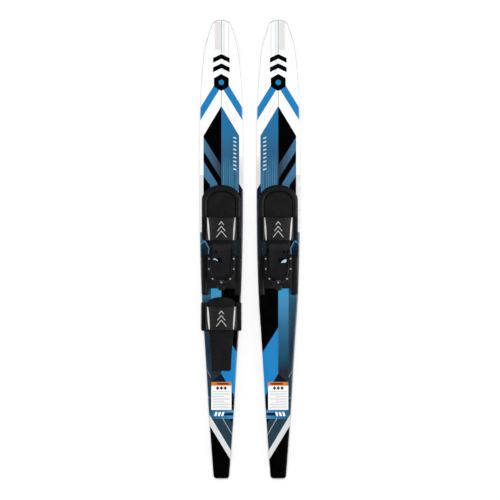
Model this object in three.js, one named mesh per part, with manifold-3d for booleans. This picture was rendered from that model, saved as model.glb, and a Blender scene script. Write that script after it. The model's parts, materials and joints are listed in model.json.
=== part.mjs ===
// A pair of combo water skis with slip-on adjustable bindings, in millimetres, +Z up, tips towards +Y.
// The left ski also carries a rear toe plate, so it can be ridden alone with both feet on it.
// Each ski is built flat in its own frame: x across, y along, z up from the flat of the base.
// The pair is then laid down the way it rests on a floor: on the fins and on the front of the bases.
import * as THREE from "three";
import { mergeVertices } from "three/addons/utils/BufferGeometryUtils.js";
import Module from "manifold-3d";

const wasm = await Module();
wasm.setup();

// ---- Driving dimensions -------------------------------------------------------------------------

const GAP = 0.3; // clearance between pieces that touch
const PAIR_SPACING = 211.6; // between the centre lines of the two skis

const SKI_LENGTH = 1702;
const NOSE_LENGTH = 14; // length of the blunt nose in front of the even sweep of the sides
const NOSE_FLAT = 6; // half width of the flat at the very tip
const TAIL_CORNER = 11; // corner radius of the square tail
const SKI_THICKNESS = 21;
const TIP_THICKNESS = 10;
const TAIL_THICKNESS = 11;
const TIP_RISE = 75;
const TAIL_RISE = 12;
const FLAT_START = 520; // stations, measured from the tip, between which the base is flat
const FLAT_END = 1310;
const TUNNEL_DEPTH = 3; // hollow along the middle of the base
const TUNNEL_SHARE = 0.75; // of the width
const STATION_STEP = 66;

// Half widths of the ski, by station from the tip.
const HALF_WIDTHS = [
  [0, 28],
  [52, 46.5],
  [101, 59.5],
  [168, 68],
  [331, 79],
  [536, 80.7],
  [819, 79],
  [1042, 72],
  [1161, 64],
  [1336, 53],
  [1466, 45.5],
  [1596, 36.5],
  [1702, 28.5],
];

const SHEET_THICKNESS = 0.9;
const SHEET_INSET = 4.6;
const SEAT = SKI_THICKNESS + SHEET_THICKNESS + 2 * GAP; // the level that the bindings stand on

const FLOOR = 4; // thickness of the floor of a binding frame
const RIM_HEIGHT = 14;
const RIM_HALF_WIDTH = 73;
const WELL_HALF_WIDTH = 53.5;
const FRAME_START = 610;
const FRAME_NOSE = 58; // length of the rounded front
const WELL_START = 633;
const WELL_NOSE = 44;
const TOE_END = 815;
const WAIST_HALF_WIDTH = 44;
const RAILS_START = 875;
const RAILS_END = 1020;
const FLOOR_END = 985; // behind it only a ledge under each rail and the rack go on
const LEDGE_HALF_WIDTH = 49; // half of the gap between the two ledges
const PAD_THICKNESS = 7;

const STRAP_LENGTH = 85;
const STRAP_THICKNESS = 3.2;
const STRAP_FOOT = 17; // width of the flat edge that the clamps hold
const STRAP_CROWN = 60; // height of the arch over the rim, at its rear edge
const STRAP_FRONT_SHARE = 0.8; // of that height, at its front edge
const CLAMP_HEIGHT = 6.5;

const CARRIAGE_START = 826;
const CARRIAGE_END = 995.5;
const CARRIAGE_THICKNESS = 5;
const TONGUE_HALF_WIDTH = 43;
const SHOULDER_START = 872;
const SHOULDER_HALF_WIDTH = 50;
const FLANGE_START = 905;
const FLANGE_HALF_WIDTH = 57;
const FLANGE_THICKNESS = 2.7;
const RACK_PITCH = 8.5;
const RACK_SLOT = 3.6;
const RACK_HALF_WIDTH = 7;
const RACK_END = 1003;

const HEEL_CENTRE = 927; // station of the centre of the round back of the heel cup
const HEEL_INNER = 36;
const HEEL_OUTER = 39.6;
const HEEL_FRONT = 848;
const HEEL_FLANGE = 52.5;
const HEEL_FLANGE_START = 868;
const HEEL_FLANGE_THICKNESS = 3;
const HEEL_HEIGHT = 96;
const HEEL_FRONT_HEIGHT = 52;
const RIVET_CIRCLE = 46;
const RIVET_RADIUS = 3.9;
const RIVET_HEIGHT = 1.6;

const LEVER_PIVOT = 974;
const LEVER_PIVOT_HEIGHT = 6.8; // over the seat of the frame
const LEVER_HALF_WIDTH = 12.4;
const LEVER_TAB = 984; // front edge of the finger tab
const LEVER_END = 1001;
const PIN_RADIUS = 1.2;
const HUB_RADIUS = 2.3;
const TOOTH_STATION = 980.4;
const TOOTH_THICKNESS = 2;
const TOOTH_CLEARANCE = 0.35; // the tooth stops just over the rack, so the carriage is free to move

const SCREW_RADIUS = 2.4;
const SCREW_HEAD_RADIUS = 5;
const SCREW_HEAD_HEIGHT = 2.2;
const SCREW_LENGTH = 15;
const SCREW_CLEARANCE = 0.35;
const ACCESS_HOLE_RADIUS = 5;
const FRAME_SCREWS = { front: [30, 690], rear: [21.6, 860] }; // side offset and station
const PLATE_SCREWS = { front: [30, 1085], rear: [24, 1225] };

const PLATE_START = 1027; // rear toe plate
const PLATE_SHOULDER = 1046;
const PLATE_TOE_END = 1153;
const PLATE_END = 1302;
const PLATE_RIM_HALF_WIDTH = 75;

const FIN_START = 1548;
const FIN_END = 1678;
const FIN_DEPTH = 56;
const FIN_THICKNESS = 5;
const FIN_FOOT_HALF_WIDTH = 12;
const FIN_FOOT_THICKNESS = 3;
const FIN_FOOT_DROP = 3.2; // room for the curve of the base over the straight foot
const FIN_SCREW_STATIONS = { front: 1556, rear: 1670 };

// ---- Materials ----------------------------------------------------------------------------------

function finish(color, roughness, metalness = 0) {
  return new THREE.MeshStandardMaterial({ color, roughness, metalness });
}

const skiShell = finish(0x15181c, 0.35);
const printedSheet = finish(0x2278b4, 0.2);
const moulding = finish(0x1c1c1e, 0.3);
const foam = finish(0x222224, 0.85);
const neoprene = finish(0x2e2e30, 0.7);
const finPlastic = finish(0x202226, 0.4);
const steel = finish(0xc8c8c8, 0.3, 1);

// ---- Shapes -------------------------------------------------------------------------------------

// The y of a station, which is the distance from the tip.
function along(station) {
  return SKI_LENGTH / 2 - station;
}

// A manifold solid from a closed three.js geometry, facing out.
function solidFrom(geometry) {
  const bare = geometry.index ? geometry.toNonIndexed() : geometry.clone();
  bare.deleteAttribute("normal");
  bare.deleteAttribute("uv");
  const merged = mergeVertices(bare, 1e-4);
  const triVerts = new Uint32Array(merged.index.array);
  const vertProperties = merged.attributes.position.array;
  const made = new wasm.Manifold(new wasm.Mesh({ numProp: 3, vertProperties, triVerts }));
  if (made.volume() > 0) {
    return made;
  }
  return new wasm.Manifold(new wasm.Mesh({ numProp: 3, vertProperties, triVerts: triVerts.reverse() }));
}

function geometryFrom(solid) {
  const mesh = solid.getMesh();
  const geometry = new THREE.BufferGeometry();
  geometry.setAttribute("position", new THREE.BufferAttribute(mesh.vertProperties, 3));
  geometry.setIndex(new THREE.BufferAttribute(mesh.triVerts, 1));
  const flat = geometry.toNonIndexed();
  flat.computeVertexNormals();
  return flat;
}

// A flat piece of the given outline between two heights over the seat of the bindings.
function slab(shape, bottom, top, curveSegments = 10) {
  const geometry = new THREE.ExtrudeGeometry(shape, {
    depth: top - bottom,
    bevelEnabled: false,
    curveSegments,
  });
  return solidFrom(geometry.translate(0, 0, SEAT + bottom));
}

// A block from one station to another.
function block(left, right, start, end, bottom, top) {
  const geometry = new THREE.BoxGeometry(right - left, end - start, top - bottom);
  return solidFrom(geometry.translate((left + right) / 2, along((start + end) / 2), SEAT + (bottom + top) / 2));
}

// A round post standing at a station.
function post(x, station, radius, bottom, top, sides = 12) {
  const geometry = new THREE.CylinderGeometry(radius, radius, top - bottom, sides);
  geometry.rotateX(Math.PI / 2);
  return solidFrom(geometry.translate(x, along(station), SEAT + (bottom + top) / 2));
}

function outline(points) {
  return new THREE.Shape(points.map(([x, station]) => new THREE.Vector2(x, along(station))));
}

// Straight sides with an elliptical front: the plan of a frame, a well or a pad.
function roundFrontPlan(halfWidth, start, noseLength, end) {
  const shape = new THREE.Shape();
  shape.moveTo(-halfWidth, along(end));
  shape.lineTo(halfWidth, along(end));
  shape.lineTo(halfWidth, along(start + noseLength));
  shape.absellipse(0, along(start + noseLength), halfWidth, noseLength, 0, Math.PI, false, 0);
  shape.lineTo(-halfWidth, along(end));
  return shape;
}

// A U in plan, open towards the tip, between an inner and an outer radius.
function heelPlan(inner, outer, front) {
  const centre = along(HEEL_CENTRE);
  const shape = new THREE.Shape();
  shape.moveTo(-outer, along(front));
  shape.lineTo(-outer, centre);
  shape.absarc(0, centre, outer, Math.PI, 2 * Math.PI, false);
  shape.lineTo(outer, along(front));
  shape.lineTo(inner, along(front));
  shape.lineTo(inner, centre);
  shape.absarc(0, centre, inner, 2 * Math.PI, Math.PI, true);
  shape.lineTo(-inner, along(front));
  shape.lineTo(-outer, along(front));
  return shape;
}

// ---- Ski ----------------------------------------------------------------------------------------

// Smooth interpolation through rows of [station, value].
function through(rows, station) {
  let i = 0;
  while (i < rows.length - 2 && station > rows[i + 1][0]) {
    i += 1;
  }
  const slope = (a, b) => (rows[b][1] - rows[a][1]) / (rows[b][0] - rows[a][0]);
  const last = rows.length - 1;
  const [x0, y0] = rows[i];
  const [x1, y1] = rows[i + 1];
  const span = x1 - x0;
  const t = (station - x0) / span;
  const m0 = slope(Math.max(i - 1, 0), i + 1) * span;
  const m1 = slope(i, Math.min(i + 2, last)) * span;
  const rise = t * t * (3 - 2 * t);
  return y0 + (y1 - y0) * rise + m0 * t * (1 - t) * (1 - t) - m1 * t * t * (1 - t);
}

function halfWidth(station) {
  const sweep = through(HALF_WIDTHS, station);
  if (station < NOSE_LENGTH) {
    const back = 1 - station / NOSE_LENGTH;
    return NOSE_FLAT + (sweep - NOSE_FLAT) * Math.sqrt(1 - back * back);
  }
  const past = (station - (SKI_LENGTH - TAIL_CORNER)) / TAIL_CORNER;
  if (past > 0) {
    return sweep - TAIL_CORNER * (1 - Math.sqrt(Math.max(0, 1 - past * past)));
  }
  return sweep;
}

// Height of the base over its flat middle.
function baseHeight(station) {
  if (station < FLAT_START) {
    return TIP_RISE * ((FLAT_START - station) / FLAT_START) ** 2.2;
  }
  if (station > FLAT_END) {
    return TAIL_RISE * ((station - FLAT_END) / (SKI_LENGTH - FLAT_END)) ** 2;
  }
  return 0;
}

function thicknessAt(station) {
  const ease = (t) => t * t * (3 - 2 * t);
  if (station < FLAT_START) {
    return TIP_THICKNESS + (SKI_THICKNESS - TIP_THICKNESS) * ease(station / FLAT_START);
  }
  if (station > FLAT_END) {
    const t = (station - FLAT_END) / (SKI_LENGTH - FLAT_END);
    return SKI_THICKNESS + (TAIL_THICKNESS - SKI_THICKNESS) * ease(t);
  }
  return SKI_THICKNESS;
}

// How far the hollow of the base lies over its edges, for u from -1 to 1 across.
function tunnel(u, station) {
  const fade = Math.min(1, Math.max(0, (station - 250) / 250), Math.max(0, (1500 - station) / 200));
  return TUNNEL_DEPTH * fade * Math.max(0, 1 - (u / TUNNEL_SHARE) ** 2);
}

// Stations closer together round the nose and the tail corners.
function stations() {
  const list = [];
  for (let i = 0; i < 5; i += 1) {
    list.push(NOSE_LENGTH * (1 - Math.cos((i * Math.PI) / 10)));
  }
  const straight = SKI_LENGTH - TAIL_CORNER - NOSE_LENGTH;
  const steps = Math.round(straight / STATION_STEP);
  for (let i = 0; i <= steps; i += 1) {
    list.push(NOSE_LENGTH + (straight * i) / steps);
  }
  for (let i = 1; i < 5; i += 1) {
    list.push(SKI_LENGTH - TAIL_CORNER + TAIL_CORNER * Math.sin((i * Math.PI) / 8));
  }
  return list;
}

// A box bent to the plan and rocker of the ski. Each layer is [inset from the edge, height at a station].
function bentBox(layers, columns) {
  const list = stations();
  const geometry = new THREE.BoxGeometry(2, 2, 2, columns, list.length - 1, layers.length - 1);
  const position = geometry.attributes.position;
  for (let i = 0; i < position.count; i += 1) {
    const u = position.getX(i);
    const row = Math.round(((1 - position.getY(i)) / 2) * (list.length - 1));
    const layer = Math.round(((1 + position.getZ(i)) / 2) * (layers.length - 1));
    const [inset, height] = layers[layer];
    const station = inset + (list[row] * (SKI_LENGTH - 2 * inset)) / SKI_LENGTH;
    const reach = Math.max(halfWidth(list[row]) - inset, 1.2);
    position.setXYZ(i, u * reach, along(station), height(station, u));
  }
  return solidFrom(geometry);
}

function drill(solid, holes) {
  return holes.reduce((rest, hole) => rest.subtract(hole), solid);
}

function screwHoles(screws, radius, bottom, top) {
  const holes = [];
  for (const [x, station] of Object.values(screws)) {
    holes.push(post(-x, station, radius, bottom, top));
    holes.push(post(x, station, radius, bottom, top));
  }
  return holes;
}

function finScrewHoles(radius, bottom, top) {
  return Object.values(FIN_SCREW_STATIONS).map((station) => {
    const level = baseHeight(station) - SEAT;
    return post(0, station, radius, level + bottom, level + top);
  });
}

function deckHoles(hasRearPlate) {
  const radius = SCREW_RADIUS + SCREW_CLEARANCE;
  const bottom = SCREW_HEAD_HEIGHT - SCREW_LENGTH;
  const holes = screwHoles(FRAME_SCREWS, radius, bottom, FLOOR);
  return hasRearPlate ? holes.concat(screwHoles(PLATE_SCREWS, radius, bottom, FLOOR)) : holes;
}

function skiBody(hasRearPlate) {
  const layers = [
    [3, (station, u) => baseHeight(station) + tunnel(u, station)],
    [0, (station) => baseHeight(station) + 3],
    [0, (station) => baseHeight(station) + thicknessAt(station) - 3.5],
    [SHEET_INSET - 1, (station) => baseHeight(station) + thicknessAt(station)],
  ];
  const holes = deckHoles(hasRearPlate);
  return drill(bentBox(layers, 8), holes.concat(finScrewHoles(SCREW_RADIUS + SCREW_CLEARANCE, -5, 8)));
}

function topSheet(hasRearPlate) {
  const deck = (station) => baseHeight(station) + thicknessAt(station) + GAP;
  const layers = [
    [SHEET_INSET, deck],
    [SHEET_INSET, (station) => deck(station) + SHEET_THICKNESS],
  ];
  return drill(bentBox(layers, 2), deckHoles(hasRearPlate));
}

// Fin with a swept front edge and a screwed foot, under the tail.
function fin() {
  const foot = baseHeight((FIN_START + FIN_END) / 2) - SEAT - GAP - FIN_FOOT_DROP;
  const blade = new THREE.Shape();
  blade.moveTo(along(FIN_START + 14), 0);
  blade.bezierCurveTo(
    along(FIN_START + 20),
    -FIN_DEPTH * 0.6,
    along(FIN_START + 50),
    -FIN_DEPTH,
    along(FIN_START + 92),
    -FIN_DEPTH,
  );
  blade.quadraticCurveTo(along(FIN_END - 14), -FIN_DEPTH, along(FIN_END - 16), -FIN_DEPTH * 0.75);
  blade.lineTo(along(FIN_END - 20), 0);
  blade.closePath();
  const bladeGeometry = new THREE.ExtrudeGeometry(blade, {
    depth: FIN_THICKNESS,
    bevelEnabled: false,
    curveSegments: 10,
  });
  bladeGeometry.translate(0, 0, -FIN_THICKNESS / 2);
  bladeGeometry.applyMatrix4(
    new THREE.Matrix4().makeBasis(
      new THREE.Vector3(0, 1, 0),
      new THREE.Vector3(0, 0, 1),
      new THREE.Vector3(1, 0, 0),
    ),
  );
  bladeGeometry.translate(0, 0, SEAT + foot);
  const plate = block(
    -FIN_FOOT_HALF_WIDTH,
    FIN_FOOT_HALF_WIDTH,
    FIN_START,
    FIN_END,
    foot - FIN_FOOT_THICKNESS,
    foot,
  );
  return drill(solidFrom(bladeGeometry).add(plate), finScrewHoles(SCREW_RADIUS + SCREW_CLEARANCE, -14, 4));
}

// A pan-head screw standing on a level, its shank pointing down.
function screw(x, station, level, length) {
  const profile = [
    new THREE.Vector2(0, -length),
    new THREE.Vector2(SCREW_RADIUS * 0.6, -length),
    new THREE.Vector2(SCREW_RADIUS, -length + 2),
    new THREE.Vector2(SCREW_RADIUS, 0),
    new THREE.Vector2(SCREW_HEAD_RADIUS, 0),
    new THREE.Vector2(SCREW_HEAD_RADIUS, SCREW_HEAD_HEIGHT * 0.5),
    new THREE.Vector2(SCREW_HEAD_RADIUS * 0.7, SCREW_HEAD_HEIGHT),
    new THREE.Vector2(0, SCREW_HEAD_HEIGHT),
  ];
  const geometry = new THREE.LatheGeometry(profile, 10);
  geometry.rotateX(Math.PI / 2);
  return solidFrom(geometry.translate(x, along(station), SEAT + level));
}

// A fin screw hangs head down, its shank going up into the base.
function finScrew(station) {
  const foot = baseHeight((FIN_START + FIN_END) / 2) - SEAT - GAP - FIN_FOOT_DROP;
  const turned = geometryFrom(screw(0, SKI_LENGTH / 2, -SEAT, 10));
  turned.rotateX(Math.PI);
  return solidFrom(turned.translate(0, along(station), SEAT + foot - FIN_FOOT_THICKNESS - GAP));
}

// ---- Binding frame and toe ----------------------------------------------------------------------

function screwSeats(screws) {
  const radius = SCREW_HEAD_RADIUS + SCREW_CLEARANCE;
  const shank = screwHoles(screws, SCREW_RADIUS + SCREW_CLEARANCE, -2, FLOOR + 1);
  return shank.concat(screwHoles(screws, radius, FLOOR - SCREW_HEAD_HEIGHT - 2 * GAP, FLOOR + 1));
}

function bindingFrame() {
  const toe = slab(roundFrontPlan(RIM_HALF_WIDTH, FRAME_START, FRAME_NOSE, TOE_END), 0, RIM_HEIGHT, 14);
  const well = slab(roundFrontPlan(WELL_HALF_WIDTH, WELL_START, WELL_NOSE, TOE_END + 5), FLOOR, 40, 14);
  const waist = block(-WAIST_HALF_WIDTH, WAIST_HALF_WIDTH, TOE_END - 2, RAILS_START + 2, 0, FLOOR);
  const rails = block(-RIM_HALF_WIDTH, RIM_HALF_WIDTH, RAILS_START, RAILS_END, 0, RIM_HEIGHT);
  const track = block(-WELL_HALF_WIDTH, WELL_HALF_WIDTH, RAILS_START - 5, RAILS_END + 5, FLOOR, 40);
  const groove = FLANGE_HALF_WIDTH + 0.6;
  const grooves = block(-groove, groove, RAILS_START - 5, RAILS_END + 5, FLOOR, FLOOR + FLANGE_THICKNESS + 3 * GAP);
  const joined = toe.subtract(well).add(waist).add(rails.subtract(track).subtract(grooves));
  const rack = RACK_HALF_WIDTH + 3;
  const cuts = [
    block(-LEDGE_HALF_WIDTH, -rack, FLOOR_END, RAILS_END + 5, -1, FLOOR + 1),
    block(rack, LEDGE_HALF_WIDTH, FLOOR_END, RAILS_END + 5, -1, FLOOR + 1),
    block(-LEDGE_HALF_WIDTH, LEDGE_HALF_WIDTH, RACK_END, RAILS_END + 5, -1, FLOOR + 1),
  ];
  for (let notch = -3; notch <= 2; notch += 1) {
    const middle = TOOTH_STATION + notch * RACK_PITCH;
    cuts.push(
      block(-RACK_HALF_WIDTH, RACK_HALF_WIDTH, middle - RACK_SLOT / 2, middle + RACK_SLOT / 2, -1, FLOOR + 1),
    );
  }
  return drill(joined, screwSeats(FRAME_SCREWS).concat(cuts));
}

function toePad() {
  const plan = roundFrontPlan(WELL_HALF_WIDTH - 0.5, WELL_START + 0.5, WELL_NOSE - 0.5, CARRIAGE_START - 32);
  return slab(plan, FLOOR + GAP, FLOOR + GAP + PAD_THICKNESS, 14);
}

// A strap arched over the foot, with a flat foot along each side for the clamps.
function archedStrap(reach, start) {
  const foot = reach - STRAP_FOOT;
  const inner = foot - STRAP_THICKNESS;
  const section = new THREE.Shape();
  section.moveTo(reach, 0);
  section.lineTo(reach, STRAP_THICKNESS);
  section.lineTo(foot, STRAP_THICKNESS);
  section.absellipse(0, STRAP_THICKNESS, foot, STRAP_CROWN - STRAP_THICKNESS, 0, Math.PI, false, 0);
  section.lineTo(-reach, STRAP_THICKNESS);
  section.lineTo(-reach, 0);
  section.lineTo(-inner, 0);
  section.absellipse(0, 0, inner, STRAP_CROWN - STRAP_THICKNESS, Math.PI, 0, true, 0);
  section.lineTo(reach, 0);
  const geometry = new THREE.ExtrudeGeometry(section, {
    depth: STRAP_LENGTH,
    steps: 2,
    bevelEnabled: false,
    curveSegments: 16,
  });
  const position = geometry.attributes.position;
  for (let i = 0; i < position.count; i += 1) {
    const back = position.getZ(i) / STRAP_LENGTH;
    const height = position.getY(i);
    const above = Math.max(0, height - STRAP_THICKNESS);
    const share = STRAP_FRONT_SHARE + (1 - STRAP_FRONT_SHARE) * back;
    const level = height - above + above * share;
    position.setXYZ(i, position.getX(i), along(start + back * STRAP_LENGTH), SEAT + RIM_HEIGHT + GAP + level);
  }
  return solidFrom(geometry);
}

function strapClamp(side, reach, start) {
  const bottom = RIM_HEIGHT + STRAP_THICKNESS + 2 * GAP;
  const near = reach - STRAP_FOOT + 1;
  const x0 = side < 0 ? -reach : near;
  const plan = new THREE.Shape();
  const corner = 4;
  const width = reach - near;
  plan.moveTo(x0 + corner, along(start));
  plan.lineTo(x0 + width - corner, along(start));
  plan.quadraticCurveTo(x0 + width, along(start), x0 + width, along(start + corner));
  plan.lineTo(x0 + width, along(start + STRAP_LENGTH - corner));
  plan.quadraticCurveTo(
    x0 + width,
    along(start + STRAP_LENGTH),
    x0 + width - corner,
    along(start + STRAP_LENGTH),
  );
  plan.lineTo(x0 + corner, along(start + STRAP_LENGTH));
  plan.quadraticCurveTo(x0, along(start + STRAP_LENGTH), x0, along(start + STRAP_LENGTH - corner));
  plan.lineTo(x0, along(start + corner));
  plan.quadraticCurveTo(x0, along(start), x0 + corner, along(start));
  return slab(plan, bottom, bottom + CLAMP_HEIGHT, 4);
}

// ---- Heel carriage ------------------------------------------------------------------------------

const CARRIAGE_BOTTOM = FLOOR + GAP;
const CARRIAGE_TOP = CARRIAGE_BOTTOM + CARRIAGE_THICKNESS;

function heelCarriage(outerSide) {
  const tongue = block(
    -TONGUE_HALF_WIDTH,
    TONGUE_HALF_WIDTH,
    CARRIAGE_START,
    SHOULDER_START + 2,
    CARRIAGE_BOTTOM,
    CARRIAGE_TOP,
  );
  const shoulder = block(
    -SHOULDER_HALF_WIDTH,
    SHOULDER_HALF_WIDTH,
    SHOULDER_START,
    FLANGE_START + 2,
    CARRIAGE_BOTTOM,
    CARRIAGE_TOP,
  );
  const body = block(
    GAP - WELL_HALF_WIDTH,
    WELL_HALF_WIDTH - GAP,
    FLANGE_START,
    CARRIAGE_END,
    CARRIAGE_BOTTOM,
    CARRIAGE_TOP,
  );
  const flange = block(
    -FLANGE_HALF_WIDTH,
    FLANGE_HALF_WIDTH,
    FLANGE_START,
    CARRIAGE_END,
    CARRIAGE_BOTTOM,
    CARRIAGE_BOTTOM + FLANGE_THICKNESS,
  );
  const room = LEVER_HALF_WIDTH + 0.6;
  const window = block(-room, room, LEVER_PIVOT - 3.5, CARRIAGE_END + 5, 0, 30);
  const joined = tongue.add(shoulder).add(body).add(flange);
  const access = post(outerSide * FRAME_SCREWS.rear[0], FRAME_SCREWS.rear[1], ACCESS_HOLE_RADIUS, 0, 30);
  const bore = pivotRod(PIN_RADIUS + 0.35, room + 3.2);
  return drill(joined, [window, access, bore]);
}

function heelPad(outerSide) {
  const reach = HEEL_INNER - 0.6;
  const centre = along(HEEL_CENTRE);
  const plan = new THREE.Shape();
  plan.moveTo(reach, along(CARRIAGE_START + 4));
  plan.lineTo(-reach, along(CARRIAGE_START + 4));
  plan.lineTo(-reach, centre);
  plan.absarc(0, centre, reach, Math.PI, 2 * Math.PI, false);
  plan.lineTo(reach, along(CARRIAGE_START + 4));
  const pad = slab(plan, CARRIAGE_TOP + GAP, CARRIAGE_TOP + GAP + PAD_THICKNESS - 1, 14);
  const access = post(outerSide * FRAME_SCREWS.rear[0], FRAME_SCREWS.rear[1], ACCESS_HOLE_RADIUS, 0, 30);
  return pad.subtract(access);
}

function heelCup() {
  const bottom = CARRIAGE_TOP + GAP;
  const wall = slab(heelPlan(HEEL_INNER, HEEL_OUTER, HEEL_FRONT), bottom, bottom + HEEL_HEIGHT, 16);
  const foot = slab(
    heelPlan(HEEL_INNER, HEEL_FLANGE, HEEL_FLANGE_START),
    bottom,
    bottom + HEEL_FLANGE_THICKNESS,
    16,
  );
  const length = HEEL_CENTRE + HEEL_OUTER - HEEL_FRONT;
  const rise = HEEL_HEIGHT - HEEL_FRONT_HEIGHT;
  const off = new THREE.Shape();
  off.moveTo(0, HEEL_FRONT_HEIGHT);
  off.quadraticCurveTo(-length * 0.55, HEEL_FRONT_HEIGHT + rise * 0.25, -length * 0.8, HEEL_HEIGHT);
  off.lineTo(-length * 0.8, HEEL_HEIGHT + 40);
  off.lineTo(20, HEEL_HEIGHT + 40);
  off.lineTo(20, HEEL_FRONT_HEIGHT);
  const cut = new THREE.ExtrudeGeometry(off, { depth: 200, bevelEnabled: false, curveSegments: 8 });
  cut.translate(0, 0, -100);
  cut.applyMatrix4(
    new THREE.Matrix4().makeBasis(
      new THREE.Vector3(0, 1, 0),
      new THREE.Vector3(0, 0, 1),
      new THREE.Vector3(1, 0, 0),
    ),
  );
  cut.translate(0, along(HEEL_FRONT), SEAT + bottom);
  return wall.subtract(solidFrom(cut)).add(foot);
}

// The band over the foot of the heel cup, with the heads of its seven rivets.
function rivetedBand() {
  const bottom = CARRIAGE_TOP + HEEL_FLANGE_THICKNESS + 2 * GAP;
  const top = bottom + 2.4;
  let band = slab(heelPlan(HEEL_OUTER + 0.8, HEEL_FLANGE - 0.4, HEEL_FLANGE_START + 5), bottom, top, 16);
  const straight = [885, 923].flatMap((station) => [
    [-RIVET_CIRCLE, station],
    [RIVET_CIRCLE, station],
  ]);
  const round = [-Math.PI / 4, 0, Math.PI / 4].map((turn) => [
    RIVET_CIRCLE * Math.sin(turn),
    HEEL_CENTRE + RIVET_CIRCLE * Math.cos(turn),
  ]);
  for (const [x, station] of straight.concat(round)) {
    band = band.add(post(x, station, RIVET_RADIUS, top - 1, top + RIVET_HEIGHT, 12));
  }
  return band;
}

// A rod across the ski on the axis of the lock lever.
function pivotRod(radius, reach) {
  const geometry = new THREE.CylinderGeometry(radius, radius, 2 * reach, 12);
  geometry.rotateZ(Math.PI / 2);
  return solidFrom(geometry.translate(0, along(LEVER_PIVOT), SEAT + LEVER_PIVOT_HEIGHT));
}

function lockPin() {
  return pivotRod(PIN_RADIUS, LEVER_HALF_WIDTH + 3.4);
}

// The size lock: a hub on the pin, a finger tab behind it and a tooth that drops into the rack.
function lockLever() {
  const hub = new THREE.CylinderGeometry(HUB_RADIUS, HUB_RADIUS, LEVER_HALF_WIDTH * 1.3, 14);
  hub.rotateZ(Math.PI / 2);
  hub.translate(0, along(LEVER_PIVOT), SEAT + LEVER_PIVOT_HEIGHT);
  const arm = block(
    -LEVER_HALF_WIDTH * 0.65,
    LEVER_HALF_WIDTH * 0.65,
    LEVER_PIVOT,
    LEVER_TAB + 1,
    LEVER_PIVOT_HEIGHT - 1.5,
    LEVER_PIVOT_HEIGHT + 0.6,
  );
  const tab = block(
    -LEVER_HALF_WIDTH,
    LEVER_HALF_WIDTH,
    LEVER_TAB,
    LEVER_END,
    LEVER_PIVOT_HEIGHT - 1.5,
    LEVER_PIVOT_HEIGHT + 3.7,
  );
  const tooth = block(
    -RACK_HALF_WIDTH + 0.6,
    RACK_HALF_WIDTH - 0.6,
    TOOTH_STATION - TOOTH_THICKNESS / 2,
    TOOTH_STATION + TOOTH_THICKNESS / 2,
    FLOOR + TOOTH_CLEARANCE,
    LEVER_PIVOT_HEIGHT,
  );
  return solidFrom(hub).add(arm).add(tab).add(tooth).subtract(pivotRod(PIN_RADIUS + 0.35, 40));
}

// Torsion spring on the pin, beside the hub.
function lockSpring() {
  const wire = 0.45;
  const turns = 3;
  const start = LEVER_HALF_WIDTH * 0.65 + 0.9;
  class Coil extends THREE.Curve {
    getPoint(t) {
      const angle = turns * 2 * Math.PI * t;
      const radius = PIN_RADIUS + wire + GAP;
      return new THREE.Vector3(start + t * 2.9, radius * Math.cos(angle), radius * Math.sin(angle));
    }
  }
  const section = new THREE.Shape();
  section.absarc(0, 0, wire, 0, 2 * Math.PI, false);
  const geometry = new THREE.ExtrudeGeometry(section, {
    steps: turns * 9,
    extrudePath: new Coil(),
    curveSegments: 3,
  });
  return solidFrom(geometry.translate(0, along(LEVER_PIVOT), SEAT + LEVER_PIVOT_HEIGHT));
}

// ---- Rear toe plate -----------------------------------------------------------------------------

function rearPlateTaper(inset, start, end) {
  return outline([
    [-45.5 + inset, start],
    [-38.5 + inset, 1243],
    [-35.5 + inset, end],
    [35.5 - inset, end],
    [38.5 - inset, 1243],
    [45.5 - inset, start],
  ]);
}

function rearPlateBase() {
  const front = roundFrontPlan(WELL_HALF_WIDTH - 2, PLATE_START, PLATE_SHOULDER - PLATE_START + 4, PLATE_TOE_END);
  const wings = block(
    -PLATE_RIM_HALF_WIDTH,
    PLATE_RIM_HALF_WIDTH,
    PLATE_SHOULDER,
    PLATE_TOE_END,
    0,
    RIM_HEIGHT,
  );
  const well = block(
    -WELL_HALF_WIDTH - 1,
    WELL_HALF_WIDTH + 1,
    PLATE_SHOULDER - 5,
    PLATE_TOE_END + 5,
    FLOOR,
    40,
  );
  const taper = slab(rearPlateTaper(0, PLATE_TOE_END - 2, PLATE_END), 0, FLOOR);
  const joined = wings.subtract(well).add(slab(front, 0, FLOOR, 14)).add(taper);
  return drill(joined, screwSeats(PLATE_SCREWS));
}

function rearPlatePad() {
  const bottom = FLOOR + GAP;
  const plan = roundFrontPlan(
    WELL_HALF_WIDTH - 3,
    PLATE_START + 1.5,
    PLATE_SHOULDER - PLATE_START + 3,
    PLATE_TOE_END + 1,
  );
  const front = slab(plan, bottom, bottom + PAD_THICKNESS, 14);
  const taper = slab(rearPlateTaper(1, PLATE_TOE_END, PLATE_END - 1), bottom, bottom + PAD_THICKNESS);
  return front.add(taper);
}

// ---- Assembly -----------------------------------------------------------------------------------

function addPart(group, name, solid, material) {
  const mesh = new THREE.Mesh(geometryFrom(solid), material);
  mesh.name = name;
  group.add(mesh);
}

function addScrews(group, label, screws) {
  for (const [place, [x, station]] of Object.entries(screws)) {
    for (const [side, sign] of Object.entries({ left: -1, right: 1 })) {
      const level = FLOOR - SCREW_HEAD_HEIGHT - GAP;
      addPart(group, `${label}_${place}_${side}`, screw(sign * x, station, level, SCREW_LENGTH - 3.4), steel);
    }
  }
}

function addStrap(group, label, reach, start) {
  addPart(group, `${label}_strap`, archedStrap(reach, start), neoprene);
  addPart(group, `${label}_clamp_left`, strapClamp(-1, reach, start), moulding);
  addPart(group, `${label}_clamp_right`, strapClamp(1, reach, start), moulding);
}

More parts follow.
